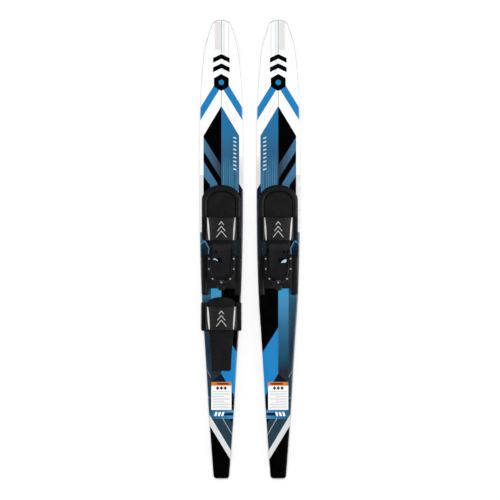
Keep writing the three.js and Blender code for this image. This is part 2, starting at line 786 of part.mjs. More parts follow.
function buildSki(name, outerSide, hasRearPlate) {
  const group = new THREE.Group();
  group.name = name;
  addPart(group, `${name}_body`, skiBody(hasRearPlate), skiShell);
  addPart(group, `${name}_topsheet`, topSheet(hasRearPlate), printedSheet);
  addPart(group, `${name}_fin`, fin(), finPlastic);
  for (const [place, station] of Object.entries(FIN_SCREW_STATIONS)) {
    addPart(group, `${name}_fin_screw_${place}`, finScrew(station), steel);
  }
  addPart(group, `${name}_binding_frame`, bindingFrame(), moulding);
  addScrews(group, `${name}_frame_screw`, FRAME_SCREWS);
  addPart(group, `${name}_toe_pad`, toePad(), foam);
  addStrap(group, `${name}_toe`, RIM_HALF_WIDTH - 0.5, TOE_END - STRAP_LENGTH);
  addPart(group, `${name}_heel_carriage`, heelCarriage(outerSide), moulding);
  addPart(group, `${name}_heel_pad`, heelPad(outerSide), foam);
  addPart(group, `${name}_heel_cup`, heelCup(), neoprene);
  addPart(group, `${name}_heel_band`, rivetedBand(), moulding);
  addPart(group, `${name}_lock_lever`, lockLever(), moulding);
  addPart(group, `${name}_lock_pin`, lockPin(), steel);
  addPart(group, `${name}_lock_spring`, lockSpring(), steel);
  if (hasRearPlate) {
    addPart(group, "rear_toe_plate", rearPlateBase(), moulding);
    addPart(group, "rear_toe_pad", rearPlatePad(), foam);
    addScrews(group, "rear_toe_screw", PLATE_SCREWS);
    addStrap(group, "rear_toe", PLATE_RIM_HALF_WIDTH - 0.5, PLATE_TOE_END - STRAP_LENGTH - 6);
  }
  return group;
}

// The lean at which the lowest point of the fin and the lowest point of the front of the base are level.
function restingLean() {
  const finFoot = baseHeight((FIN_START + FIN_END) / 2) - GAP - FIN_FOOT_DROP;
  const finPoint = { y: along(FIN_START + 92), z: finFoot - FIN_DEPTH };
  let lean = 0;
  for (let round = 0; round < 20; round += 1) {
    let lowest = { y: 0, z: 0, height: Infinity };
    for (let station = 200; station < FLAT_START + 60; station += 2) {
      const height = baseHeight(station) * Math.cos(lean) - along(station) * Math.sin(lean);
      if (height < lowest.height) {
        lowest = { y: along(station), z: baseHeight(station), height };
      }
    }
    lean = Math.atan2(lowest.z - finPoint.z, lowest.y - finPoint.y);
  }
  return lean;
}

const pair = new THREE.Group();
pair.name = "water_ski_pair";
const leftSki = buildSki("left_ski", -1, true);
const rightSki = buildSki("right_ski", 1, false);
leftSki.position.x = -PAIR_SPACING / 2;
rightSki.position.x = PAIR_SPACING / 2;
const laid = new THREE.Group();
laid.add(leftSki, rightSki);
laid.rotation.x = -restingLean();
pair.add(laid);

// The origin is under the middle of the pair, on the floor.
const box = new THREE.Box3().setFromObject(pair, true);
laid.position.set(0, -(box.min.y + box.max.y) / 2, -box.min.z);

export default pair;
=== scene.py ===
"""Looks of a pair of combo water skis with slip-on bindings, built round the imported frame.

Every piece is drawn for the left ski in millimetres: x across, station from the tip towards the tail, and z up
from the flat of the base. The right ski is the mirror image of the left one.
"""

import json
import math
from functools import partial

import bmesh
import bpy
import numpy as np
from mathutils import Matrix, Vector
from mathutils.geometry import delaunay_2d_cdt


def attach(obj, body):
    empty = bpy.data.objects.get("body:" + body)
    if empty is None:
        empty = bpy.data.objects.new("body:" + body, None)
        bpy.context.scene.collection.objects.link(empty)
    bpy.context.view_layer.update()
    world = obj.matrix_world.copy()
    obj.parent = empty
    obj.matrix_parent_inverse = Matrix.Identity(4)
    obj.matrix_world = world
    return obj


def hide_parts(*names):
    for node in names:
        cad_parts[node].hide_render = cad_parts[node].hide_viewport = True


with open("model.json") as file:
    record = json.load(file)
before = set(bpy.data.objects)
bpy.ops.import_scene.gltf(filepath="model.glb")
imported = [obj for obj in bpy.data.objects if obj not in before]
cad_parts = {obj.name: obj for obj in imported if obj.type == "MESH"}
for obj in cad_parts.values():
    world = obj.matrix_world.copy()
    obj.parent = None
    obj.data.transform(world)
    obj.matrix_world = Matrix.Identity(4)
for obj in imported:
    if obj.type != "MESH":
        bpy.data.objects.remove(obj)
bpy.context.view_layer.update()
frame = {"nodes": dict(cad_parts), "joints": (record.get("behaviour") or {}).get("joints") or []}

# ---- Dimensions of the frame, in ski millimetres ----

LENGTH = 1702
NOSE_LENGTH = 14
NOSE_FLAT = 6
TAIL_CORNER = 11
THICKNESS = 21
TIP_THICKNESS = 10
TAIL_THICKNESS = 11
TIP_RISE = 75
TAIL_RISE = 12
FLAT_START = 520
FLAT_END = 1310
TUNNEL_DEPTH = 3
TUNNEL_SHARE = 0.75
HALF_WIDTHS = [(0, 28), (52, 46.5), (101, 59.5), (168, 68), (331, 79), (536, 80.7), (819, 79)]
HALF_WIDTHS += [(1042, 72), (1161, 64), (1336, 53), (1466, 45.5), (1596, 36.5), (1702, 28.5)]
SEAT = 22.5
PAIR_HALF = 105.8
STATION_SCALE = 1001.0  # millimetres of station to a metre along the row, as the skis lean a little
LEVER_PIVOT = 974
LEVER_PIVOT_HEIGHT = 6.8
HEEL_CENTRE = 927
STRAP_LENGTH = 85
STRAP_FOOT = 17
STRAP_CROWN = 60


def through(rows, station):
    """Smooth interpolation through rows of (station, value)."""
    i = 0
    while i < len(rows) - 2 and station > rows[i + 1][0]:
        i += 1

    def slope(a, b):
        return (rows[b][1] - rows[a][1]) / (rows[b][0] - rows[a][0])

    x0, y0 = rows[i]
    x1, y1 = rows[i + 1]
    span = x1 - x0
    t = (station - x0) / span
    m0 = slope(max(i - 1, 0), i + 1) * span
    m1 = slope(i, min(i + 2, len(rows) - 1)) * span
    rise = t * t * (3 - 2 * t)
    return y0 + (y1 - y0) * rise + m0 * t * (1 - t) ** 2 - m1 * t * t * (1 - t)


def ease(t):
    t = min(1, max(0, t))
    return t * t * (3 - 2 * t)


def half_width(station):
    sweep = through(HALF_WIDTHS, station)
    if station < NOSE_LENGTH:
        back = 1 - station / NOSE_LENGTH
        return NOSE_FLAT + (sweep - NOSE_FLAT) * math.sqrt(max(0, 1 - back * back))
    past = (station - (LENGTH - TAIL_CORNER)) / TAIL_CORNER
    if past > 0:
        return sweep - TAIL_CORNER * (1 - math.sqrt(max(0, 1 - past * past)))
    return sweep


def base_height(station):
    if station < FLAT_START:
        return TIP_RISE * ((FLAT_START - station) / FLAT_START) ** 2.2
    if station > FLAT_END:
        return TAIL_RISE * ((station - FLAT_END) / (LENGTH - FLAT_END)) ** 2
    return 0


def thickness_at(station):
    if station < FLAT_START:
        return TIP_THICKNESS + (THICKNESS - TIP_THICKNESS) * ease(station / FLAT_START)
    if station > FLAT_END:
        t = (station - FLAT_END) / (LENGTH - FLAT_END)
        return THICKNESS + (TAIL_THICKNESS - THICKNESS) * ease(t)
    return THICKNESS


def deck(station):
    return base_height(station) + thickness_at(station)


def tunnel(x, station):
    fade = min(1, max(0, (station - 250) / 250), max(0, (1500 - station) / 200))
    share = x / max(half_width(station), 1) / TUNNEL_SHARE
    return TUNNEL_DEPTH * fade * max(0, 1 - share**2)


# ---- The two skis' own frames ----


def along(station):
    return LENGTH / 2 - station


def ski_matrix(side):
    """From ski millimetres, with y towards the tip, to the row frame."""
    joints = {joint["name"]: joint for joint in frame["joints"]}
    across = Vector((1, 0, 0))
    forward = Vector(joints[f"{side}_heel_slide"]["axis"]).normalized()
    if forward.y < 0:
        forward.negate()
    up = across.cross(forward)
    pivot = Vector(joints[f"{side}_lock_release"]["pos_m"])
    origin = pivot - forward * along(LEVER_PIVOT) * 0.001 - up * (SEAT + LEVER_PIVOT_HEIGHT) * 0.001
    columns = Matrix((across, forward, up)).transposed() * 0.001
    return Matrix.Translation(origin) @ columns.to_4x4()


SKI = {side: ski_matrix(side) for side in ("left", "right")}
MIRROR = {"left": 1, "right": -1}


# ---- Mesh building ----


class Build:
    """Points (x, station, z) and faces with a material index."""

    def __init__(self):
        self.points = []
        self.faces = []
        self.inks = []

    def add(self, points, faces, inks=None):
        first = len(self.points)
        self.points.extend(points)
        self.faces.extend(tuple(first + i for i in face) for face in faces)
        self.inks.extend(inks or [0] * len(faces))


def loft(build, rings):
    """Skin over closed rings, with a face over either end."""
    count = len(rings[0])
    points = [p for ring in rings for p in ring]
    faces = []
    for a in range(0, len(points) - count, count):
        b = a + count
        for i in range(count):
            j = (i + 1) % count
            faces.append((a + i, a + j, b + j, b + i))
    faces.append(tuple(range(count)))
    faces.append(tuple(reversed(range(len(points) - count, len(points)))))
    build.add(points, faces)


def layer(build, top, low, across, down):
    """Closes two grids of points, across + 1 wide and down + 1 long, into one solid."""
    wide, count = across + 1, len(top)
    faces = []
    for j in range(down):
        for i in range(across):
            a = j * wide + i
            faces.append((a, a + 1, a + wide + 1, a + wide))
            faces.append((count + a, count + a + wide, count + a + wide + 1, count + a + 1))
    loop = list(range(wide)) + [r * wide + across for r in range(1, down + 1)]
    loop += [down * wide + i for i in range(across - 1, -1, -1)] + [r * wide for r in range(down - 1, 0, -1)]
    faces.extend((b, a, count + a, count + b) for a, b in zip(loop, loop[1:] + loop[:1]))
    build.add(top + low, faces)


def thread(build, rows):
    """One stitch, from rows of its middle and the ways to its two sides, its back and its underside."""
    loft(build, [[m + side, m + up, m - side, m - down] for m, side, up, down in rows])


def signed_area(loop):
    total = 0
    for (x0, y0), (x1, y1) in zip(loop, loop[1:] + loop[:1]):
        total += x0 * y1 - x1 * y0
    return total / 2


def offset(loop, inset):
    """The loop moved inwards (or outwards, for a negative inset)."""
    turn = 1 if signed_area(loop) > 0 else -1
    made = []
    count = len(loop)
    for i, (x, y) in enumerate(loop):
        px, py = loop[i - 1]
        nx, ny = loop[(i + 1) % count]
        a = Vector((x - px, y - py)).normalized()
        b = Vector((nx - x, ny - y)).normalized()
        bisector = Vector((-(a.y + b.y), a.x + b.x))
        if bisector.length < 1e-6:
            bisector = Vector((-a.y, a.x))
        bisector.normalize()
        reach = inset / max(0.45, bisector.dot(Vector((-a.y, a.x))))
        made.append((x + bisector.x * reach * turn, y + bisector.y * reach * turn))
    return made


def inside(loop, xy):
    """Which of the points lie inside the loop."""
    x, y = xy[:, 0], xy[:, 1]
    result = np.zeros(len(xy), bool)
    for (x0, y0), (x1, y1) in zip(loop, loop[1:] + loop[:1]):
        if y0 == y1:
            continue
        crosses = (y0 > y) != (y1 > y)
        result ^= crosses & (x < (x1 - x0) * (y - y0) / (y1 - y0) + x0)
    return result


def distance(loops, xy):
    """Distance of each point from the nearest of the loops."""
    nearest = np.full(len(xy), 1e9)
    for loop in loops:
        for a, b in zip(loop, loop[1:] + loop[:1]):
            a, b = np.array(a, float), np.array(b, float)
            d = b - a
            t = np.clip(((xy - a) @ d) / max(float(d @ d), 1e-9), 0, 1)
            nearest = np.minimum(nearest, np.hypot(*(xy - a - t[:, None] * d).T))
    return nearest


def triangulate(outline, holes=(), guides=(), grid=0):
    """Points and triangles of a plane region, with the edges of the guide loops kept in it."""
    loops = [outline, *holes, *guides]
    verts, edges = [], []
    for loop in loops:
        first = len(verts)
        verts.extend(loop)
        edges.extend((first + i, first + (i + 1) % len(loop)) for i in range(len(loop)))
    if grid:
        xs, ys = zip(*outline)
        across = max(1, round((max(xs) - min(xs)) / grid))
        down = max(1, round((max(ys) - min(ys)) / grid))
        for i in range(1, across):
            for j in range(1, down):
                x = min(xs) + (max(xs) - min(xs)) * i / across
                y = min(ys) + (max(ys) - min(ys)) * (j + 0.5 * (i % 2)) / down
                verts.append((x, y))
    made = delaunay_2d_cdt([Vector(p) for p in verts], edges, [], 0, 1e-4)
    xy = np.array([tuple(v) for v in made[0]])
    triangles = [tuple(face) for face in made[2]]
    middles = np.array([xy[list(face)].mean(0) for face in triangles])
    kept = inside(outline, middles)
    for hole in holes:
        kept &= ~inside(hole, middles)
    chosen = [face for face, keep in zip(triangles, kept) if keep]
    return xy, chosen, middles[kept]


def shell(build, xy, triangles, top, bottom, inks=None, side_ink=0):
    """A closed solid between two heights over a triangulated region."""
    used = sorted({i for face in triangles for i in face})
    number = {old: new for new, old in enumerate(used)}
    count = len(used)
    points = [(*xy[i], top[i]) for i in used] + [(*xy[i], bottom[i]) for i in used]
    upper = [tuple(number[i] for i in face) for face in triangles]
    lower = [(c + count, b + count, a + count) for a, b, c in upper]
    edges = {edge for a, b, c in upper for edge in ((a, b), (b, c), (c, a))}
    sides = [(b, a, a + count, b + count) for a, b in sorted(edges) if (b, a) not in edges]
    inks = (inks or [0] * len(upper)) + [side_ink] * (len(lower) + len(sides))
    build.add(points, upper + lower + sides, inks)


def rounded(d, width, depth):
    """How far a round edge falls away, at each distance from the outline."""
    share = np.clip(1 - d / width, 0, 1)
    return depth * (1 - np.sqrt(np.clip(1 - share**2, 0, 1)))


def plate(build, outline, low, high, bevel=1.0, holes=(), dome=0, dome_reach=20, grid=0):
    """A flat piece with softly rounded upper edges, or a pad with a crowned top."""
    guides = []
    for share in (0.12, 0.4, 1):
        guides.append(offset(outline, bevel * share))
        guides.extend(offset(hole, -bevel * share) for hole in holes)
    xy, triangles, _ = triangulate(outline, holes, guides, grid)
    d = distance([outline, *holes], xy)
    crown = dome * (1 - (1 - np.clip(d / dome_reach, 0, 1)) ** 2)
    shell(build, xy, triangles, high - rounded(d, bevel, bevel) + crown, np.full(len(xy), low))


def drape(build, outline, height, proud, sink, grid):
    """A thin layer lying on a curved surface."""
    xy, triangles, _ = triangulate(outline, grid=grid)
    level = np.array([height(x, s) for x, s in xy])
    shell(build, xy, triangles, level + proud, level - sink)


def arc(x, station, across, down, start, end, steps):
    """Points on an ellipse between two angles in degrees: 0 points to the right and 90 towards the tail."""
    turns = [math.radians(start + (end - start) * i / steps) for i in range(steps + 1)]
    return [(x + across * math.cos(t), station + down * math.sin(t)) for t in turns]


def circle(x, station, radius, count=20, start=0):
    return arc(x, station, radius, radius, start, start + 360, count)[:-1]


def box_outline(x0, x1, s0, s1, corner=2.0, steps=4):
    """A rectangle with rounded corners, in plan."""
    points = []
    for cx, cs, start in (
        (x1 - corner, s1 - corner, 0),
        (x0 + corner, s1 - corner, 90),
        (x0 + corner, s0 + corner, 180),
        (x1 - corner, s0 + corner, 270),
    ):
        points += arc(cx, cs, corner, corner, start, start + 90, steps)
    return points


def front_arc(half, start, nose):
    """Half an ellipse round a front end, from left to right."""
    return arc(0, start + nose, half, nose, 180, 360, 36)


def flipped(points):
    return [(-x, s) for x, s in points]


def both_sides(half):
    """A loop from the half of it on the right, taken from front to rear."""
    return half + flipped(half)[::-1]


# ---- Materials ----


def linear(hex_colour):
    parts = [int(hex_colour[i : i + 2], 16) / 255 for i in (0, 2, 4)]
    return tuple(c / 12.92 if c <= 0.04045 else ((c + 0.055) / 1.055) ** 2.4 for c in parts) + (1,)


class Nodes:
    """Small helpers over one material's node tree."""

    def __init__(self, name):
        self.material = bpy.data.materials.new(name)
        self.material.use_nodes = True
        self.tree = self.material.node_tree
        self.shader = self.tree.nodes["Principled BSDF"]
        self.place = self.node("ShaderNodeTexCoord").outputs["Object"]

    def node(self, kind, **values):
        made = self.tree.nodes.new(kind)
        for key, value in values.items():
            setattr(made, key, value)
        return made

    def join(self, source, target):
        if isinstance(source, (int, float, tuple)):
            target.default_value = source
        else:
            self.tree.links.new(source, target)

    def math(self, operation, a, b=0.0):
        made = self.node("ShaderNodeMath", operation=operation)
        self.join(a, made.inputs[0])
        self.join(b, made.inputs[1])
        return made.outputs[0]

    def mix(self, factor, a, b, blend="MIX"):
        made = self.node("ShaderNodeMix", data_type="RGBA", blend_type=blend)
        self.join(factor, made.inputs[0])
        self.join(a, made.inputs[6])
        self.join(b, made.inputs[7])
        return made.outputs[2]

    def noise(self, scale, detail=3.0, rough=0.55, stretch=(1, 1, 1)):
        mapping = self.node("ShaderNodeMapping")
        mapping.inputs["Scale"].default_value = stretch
        self.join(self.place, mapping.inputs["Vector"])
        made = self.node("ShaderNodeTexNoise")
        for key, number in (("Scale", scale), ("Detail", detail), ("Roughness", rough)):
            made.inputs[key].default_value = number
        self.join(mapping.outputs[0], made.inputs["Vector"])
        return made.outputs["Fac"]

    def cells(self, scale):
        made = self.node("ShaderNodeTexVoronoi")
        made.inputs["Scale"].default_value = scale
        self.join(self.place, made.inputs["Vector"])
        return made.outputs["Distance"]

    def span(self, value, low, high, to_low=0.0, to_high=1.0):
        made = self.node("ShaderNodeMapRange")
        self.join(value, made.inputs["Value"])
        for key, number in zip(("From Min", "From Max", "To Min", "To Max"), (low, high, to_low, to_high)):
            made.inputs[key].default_value = number
        return made.outputs[0]

    def ramp(self, factor, stops):
        made = self.node("ShaderNodeValToRGB")
        elements = made.color_ramp.elements
        while len(elements) < len(stops):
            elements.new(0.5)
        for element, (position, colour) in zip(elements, stops):
            element.position = position
            element.color = colour
        self.join(factor, made.inputs[0])
        return made.outputs[0]

    def axis(self, name):
        made = self.node("ShaderNodeSeparateXYZ")
        self.join(self.place, made.inputs[0])
        return made.outputs[name]

    def across(self):
        """Distance from the middle of the ski in millimetres, positive towards the other ski."""
        from_centre = self.math("MULTIPLY", self.math("ABSOLUTE", self.axis("X")), 1000.0)
        return self.math("SUBTRACT", PAIR_HALF, from_centre)

    def station(self):
        """Distance from the tip in millimetres."""
        tip = SKI["left"] @ Vector((0, along(0), SEAT))
        return self.math("MULTIPLY", self.math("SUBTRACT", tip.y, self.axis("Y")), STATION_SCALE)

    def crossed(self, pitch):
        """The crossing waves of a weave, with its pitch in millimetres."""
        step = 2000 * math.pi / pitch
        waves = [self.math("SINE", self.math("MULTIPLY", self.axis(name), step)) for name in "XY"]
        return self.math("MULTIPLY", *waves)

    def shades(self, factor, colour, low, high):
        """From a darker share of the colour to a lighter one."""
        return self.mix(factor, scaled(colour, low), scaled(colour, high))

    def wander(self, scale, detail, low, high):
        """A value that wanders between two limits."""
        return self.span(self.noise(scale, detail), 0.3, 0.7, low, high)

    def bump(self, height, strength, distance, normal=None):
        made = self.node("ShaderNodeBump")
        made.inputs["Strength"].default_value = strength
        made.inputs["Distance"].default_value = distance
        self.join(height, made.inputs["Height"])
        if normal is not None:
            self.join(normal, made.inputs["Normal"])
        return made.outputs[0]

    def surface(self, colour, roughness, normal, **constants):
        for key, source in (("Base Color", colour), ("Roughness", roughness), ("Normal", normal)):
            self.join(source, self.shader.inputs[key])
        for key, value in constants.items():
            self.shader.inputs[key.replace("_", " ")].default_value = value
        return self.material


def scaled(colour, share):
    return tuple(min(1, c * share) for c in colour[:3]) + (1,)


BLACK = (0, 0, 0, 1)
MID_GREY = (0.5, 0.5, 0.5, 1)


def coated(n, ink, roughness):
    """Ink under a clear coat with a faint orange peel."""
    peel = n.bump(n.noise(260, 2), 0.06, 0.0004)
    return n.surface(ink, roughness, peel, Specular_IOR_Level=0.35, Coat_Weight=0.5, Coat_Roughness=0.07)


def gloss_print(name, colours):
    """Printed ink: one colour, or "s" (station) or "x" with its stops of (millimetre, colour)."""
    n = Nodes(name)
    if isinstance(colours, str):
        ink = n.shades(n.noise(9, 2), linear(colours), 0.97, 1.04)
    else:
        direction, *stops = colours
        place = n.station() if direction == "s" else n.across()
        first, last = stops[0][0], stops[-1][0]
        shares = [((at - first) / (last - first), linear(colour)) for at, colour in stops]
        ink = n.ramp(n.span(place, first, last), shares)
        ink = n.mix(n.math("MULTIPLY", n.noise(11, 2), 0.12), ink, BLACK)
    ink = n.mix(n.span(n.noise(2400, 1), 0.35, 0.65, 0.0, 0.06), ink, MID_GREY, "SOFT_LIGHT")
    scratches = n.span(n.noise(160, 4, 0.6, (3.0, 0.12, 1)), 0.62, 0.78, 0.0, 0.16)
    return coated(n, ink, n.math("ADD", n.wander(30, 4, 0.16, 0.26), scratches))


def hatch_print(name, base, lines, pitch):
    """Fine slanting lines over an ink."""
    n = Nodes(name)
    slant = n.math("ADD", n.station(), n.math("MULTIPLY", n.across(), -1.6))
    wave = n.math("SINE", n.math("MULTIPLY", slant, 2 * math.pi / pitch))
    ink = n.mix(n.span(wave, 0.2, 0.7), linear(base), linear(lines))
    ink = n.mix(n.math("MULTIPLY", n.noise(14, 2), 0.1), ink, BLACK)
    return coated(n, ink, n.wander(30, 4, 0.16, 0.28))


def moulded(name, base, rough=0.42):
    """Glass-filled nylon with a fine spark-eroded grain."""
    n = Nodes(name)
    colour = linear(base)
    tone = n.shades(n.noise(18, 3), colour, 0.75, 1.35)
    fibres = n.span(n.noise(900, 2, 0.5, (1, 0.25, 1)), 0.6, 0.75, 0.0, 0.35)
    tone = n.mix(fibres, tone, scaled(colour, 2.1))
    fine = n.bump(n.noise(1500, 2), 0.35, 0.00015)
    flow = n.bump(n.noise(35, 3), 0.12, 0.0006, fine)
    return n.surface(tone, n.wander(60, 4, rough - 0.08, rough + 0.12), flow, Specular_IOR_Level=0.28)


def pebbled(name, base, scale=420.0):
    """Closed-cell foam with a pressed pebble grain."""
    n = Nodes(name)
    colour = linear(base)
    cells = n.cells(scale)
    tone = n.shades(n.span(cells, 0.1, 0.6), colour, 1.25, 0.55)
    tone = n.mix(n.span(n.noise(24, 4), 0.35, 0.7, 0.0, 0.5), tone, scaled(colour, 1.6))
    dents = n.bump(n.noise(40, 4), 0.25, 0.001, n.bump(cells, 0.6, 0.0005))
    return n.surface(tone, n.wander(90, 3, 0.68, 0.9), dents, Specular_IOR_Level=0.25)


def woven(name, base, light, pitch=1.15, sheen=0.12):
    """Knitted face cloth laminated on rubber, with pale flecks of yarn."""
    n = Nodes(name)
    colour = linear(base)
    knit = n.crossed(pitch)
    tone = n.shades(n.span(knit, -0.6, 0.8), colour, 0.6, 1.35)
    tone = n.mix(n.span(n.noise(520, 2, 0.7), 0.6, 0.72, 0.0, 0.6), tone, linear(light))
    tone = n.mix(n.span(n.noise(20, 4), 0.4, 0.7, 0.0, 0.35), tone, scaled(colour, 0.5))
    folds = n.bump(n.noise(45, 4), 0.2, 0.0012, n.bump(knit, 0.5, 0.0003))
    gloss = {"Specular_IOR_Level": 0.25, "Sheen_Weight": sheen, "Sheen_Roughness": 0.5}
    return n.surface(tone, n.wander(70, 3, 0.6, 0.85), folds, **gloss)


def rubbery(name, base, rough=0.5, specular=0.35):
    """Smooth moulded rubber with faint dust and handling marks."""
    n = Nodes(name)
    colour = linear(base)
    tone = n.shades(n.noise(30, 4), colour, 0.86, 1.08)
    tone = n.mix(n.span(n.noise(420, 3), 0.62, 0.75, 0.0, 0.3), tone, scaled(colour, 0.6))
    skin = n.bump(n.noise(700, 3), 0.2, 0.0002)
    return n.surface(tone, n.wander(80, 4, rough - 0.08, rough + 0.15), skin, Specular_IOR_Level=specular)


def metal(name, base, rough=0.3, metallic=1.0):
    """Plated steel with fine turning marks and small dull spots."""
    n = Nodes(name)
    colour = linear(base)
    tone = n.shades(n.noise(120, 4), colour, 0.8, 1.1)
    tone = n.mix(n.span(n.noise(900, 3), 0.6, 0.72, 0.0, 0.5), tone, scaled(colour, 0.45))
    marks = n.bump(n.noise(1800, 2), 0.15, 0.0001)
    return n.surface(tone, n.wander(400, 4, rough - 0.1, rough + 0.15), marks, Metallic=metallic)


def laminate(name, base):
    """Moulded glass laminate: dark resin over a plain weave, scuffed along the edges."""
    n = Nodes(name)
    weave = n.crossed(2.2)
    tone = n.shades(n.span(weave, -0.8, 0.8), linear(base), 0.8, 1.3)
    scuffs = n.span(n.noise(90, 5, 0.7, (4.0, 0.15, 1)), 0.66, 0.8, 0.0, 0.3)
    tone = n.mix(scuffs, tone, linear("8A8F94"))
    roughness = n.math("ADD", n.wander(25, 4, 0.22, 0.36), scuffs)
    relief = n.bump(weave, 0.08, 0.0001)
    return n.surface(tone, roughness, relief, Specular_IOR_Level=0.4, Coat_Weight=0.3, Coat_Roughness=0.12)


INKS = {
    "white": "FCFCFD",
    "edge": "F3F4F5",
    "pale_band": "E6E3E3",
    "grey_line": "868C92",
    "faint": "BFD0D3",
    "pale_cyan": "EDF5F7",
    "hairline": "C4CACD",
    "black": "020203",
    "blue": "1D80C2",
    "kite": ("s", (318, "1E77B4"), (424, "27719E"), (480, "2E6488"), (640, "2C6183")),
    "streak": ("s", (498, "2E6B90"), (560, "5FA0C4"), (640, "6FA8C6")),
    "tick": "C3DCEB",
    "band_a": ("x", (-66, "3F76A0"), (-30, "3B5A75"), (0, "2E3138")),
    "band_b": ("s", (523, "3F7CA8"), (612, "3F6F90")),
    "strip": ("s", (520, "E4E2E4"), (700, "F1F2F6"), (790, "E9ECF4")),
    "strip_right": ("s", (505, "F6F4F4"), (560, "E4E0E0"), (620, "E8E6EA")),
    "navy": ("s", (605, "0B1236"), (700, "0A1430"), (780, "10283C"), (830, "153346"), (880, "0A0F14")),
    "slate": "1C2C3C",
    "steel_blue": ("s", (780, "54788F"), (818, "2C5F85")),
    "teal": (
        "s", (818, "153F52"), (830, "122E40"), (852, "101F30"),
        (880, "0D1822"), (960, "101E28"), (1020, "23495F"),
    ),
    "teal_right": ("x", (44, "121E25"), (54, "202D34"), (60, "142026"), (68, "1B262C"), (78, "0A0E11")),
    "hook": ("s", (818, "3D88AC"), (834, "5A86A6"), (860, "527C9A"), (880, "476882")),
    "near_black": "08090B",
    "stripe": (
        "s", (985, "2AA3D8"), (1038, "4391C1"), (1083, "3983B4"), (1131, "2D6E94"), (1187, "225E82"),
        (1224, "215273"), (1261, "144B60"), (1299, "262A33"), (1330, "24313F"),
    ),
    "side": ("s", (1010, "3E6D8C"), (1038, "25516A"), (1113, "264257"), (1224, "1F3042"), (1340, "25404F")),
    "bright": "1882C5",
    "navy_flat": "0B1A2C",
    "navy_bar": "0C1A46",
    "mark_band": ("x", (-41, "255F7E"), (-20, "2B7299"), (5, "3079A6"), (40, "4592C6")),
    "label": "FAFAFA",
    "label_band": "DC7A22",
    "label_grey": "C4C6CA",
    "brown": "6B3413",
}
HATCHES = {"slate_hatch": ("233948", "2F4858", 5.0), "white_hatch": ("E9EAEC", "CFD2D5", 4.0)}
INK_NAMES = [*INKS, *HATCHES]


# ---- The printed pattern: inks and outlines (x, station), later ones lie over earlier ones ----


def box(x0, s0, x1, s1):
    return [(x0, s0), (x1, s0), (x1, s1), (x0, s1)]


def stroke(points, width):
    """A line of even width through the points, as one outline."""
    left, right = [], []
    for i, point in enumerate(points):
        here = Vector(point)
        before = Vector(points[max(i - 1, 0)])
        after = Vector(points[min(i + 1, len(points) - 1)])
        a = (here - before).normalized() if i else (after - here).normalized()
        b = (after - here).normalized() if i < len(points) - 1 else a
        normal = Vector((-(a.y + b.y), a.x + b.x)).normalized()
        reach = width / 2 / max(0.5, normal.dot(Vector((-a.y, a.x))))
        left.append(tuple(here + normal * reach))
        right.append(tuple(here - normal * reach))
    return left + right[::-1]


def lozenge(x, station, half, long):
    return [(x, station - long), (x + half, station), (x, station + long), (x - half, station)]


def tip_pattern():
    corner = [(12, 300), (51, 372), (55, 324)]
    rows = [
        ("pale_band", box(-24.5, 4, -3.3, 108)),
        ("grey_line", box(-1.3, 0, 1.3, 119)),
        ("grey_line", box(-1, 262, 1, 318)),
        ("pale_cyan", box(2.95, 5, 9.45, 194)),
        ("faint", box(9.3, 8, 11.1, 194)),
        ("faint", box(26.1, 14, 27.9, 194)),
        ("hairline", stroke(corner, 1.3)),
        ("hairline", stroke([corner[-1], (28, 278)], 1.1)),
    ]
    # A plain mark: two chevrons over a six-sided spot.
    for s in (123, 158):
        rows.append(("black", [(0, s), (31, s + 15), (31, s + 33), (0, s + 18), (-31, s + 33), (-31, s + 15)]))
    wing = [(-25, 236), (-78, 322.5), (-78.3, 370), (-7, 255.5)]
    rows += [("blue", wing), ("blue", flipped(wing))]
    return rows + [("black", circle(0, 229, 32, 6, 30)), ("blue", circle(0, 229, 11, 6, 30))]


def middle_pattern():
    """From the point of the kite to the front of the binding."""
    rows = [
        ("strip", box(-90, 573, -65.5, 786)),
        ("strip_right", [(65.5, 505), (90, 505), (90, 646), (65.5, 604)]),
        ("black", [(0, 316.5), (-66.5, 427), (-66.5, 660), (0, 660)]),
        ("kite", [(0, 316.5), (66.2, 427), (66.2, 660), (0, 660)]),
        ("band_a", [(-66.5, 433), (0, 538), (0, 590), (-66.5, 483)]),
        ("band_b", [(-66.5, 522), (-14, 606), (-14, 655), (-36, 655), (-43, 609), (-66.5, 577)]),
    ]
    for x, start in ((8, 520), (14, 505), (21, 498), (30, 512), (36, 540), (43, 505), (55, 520), (61, 540)):
        rows.append(("streak", box(x - 0.6, start, x + 0.6, 658)))
    for s in (431 + 14.6 * i for i in range(9)):
        rows.append(("tick", [(44.5, s), (56, s + 3.6), (56, s + 8.6), (44.5, s + 5)]))
    return rows


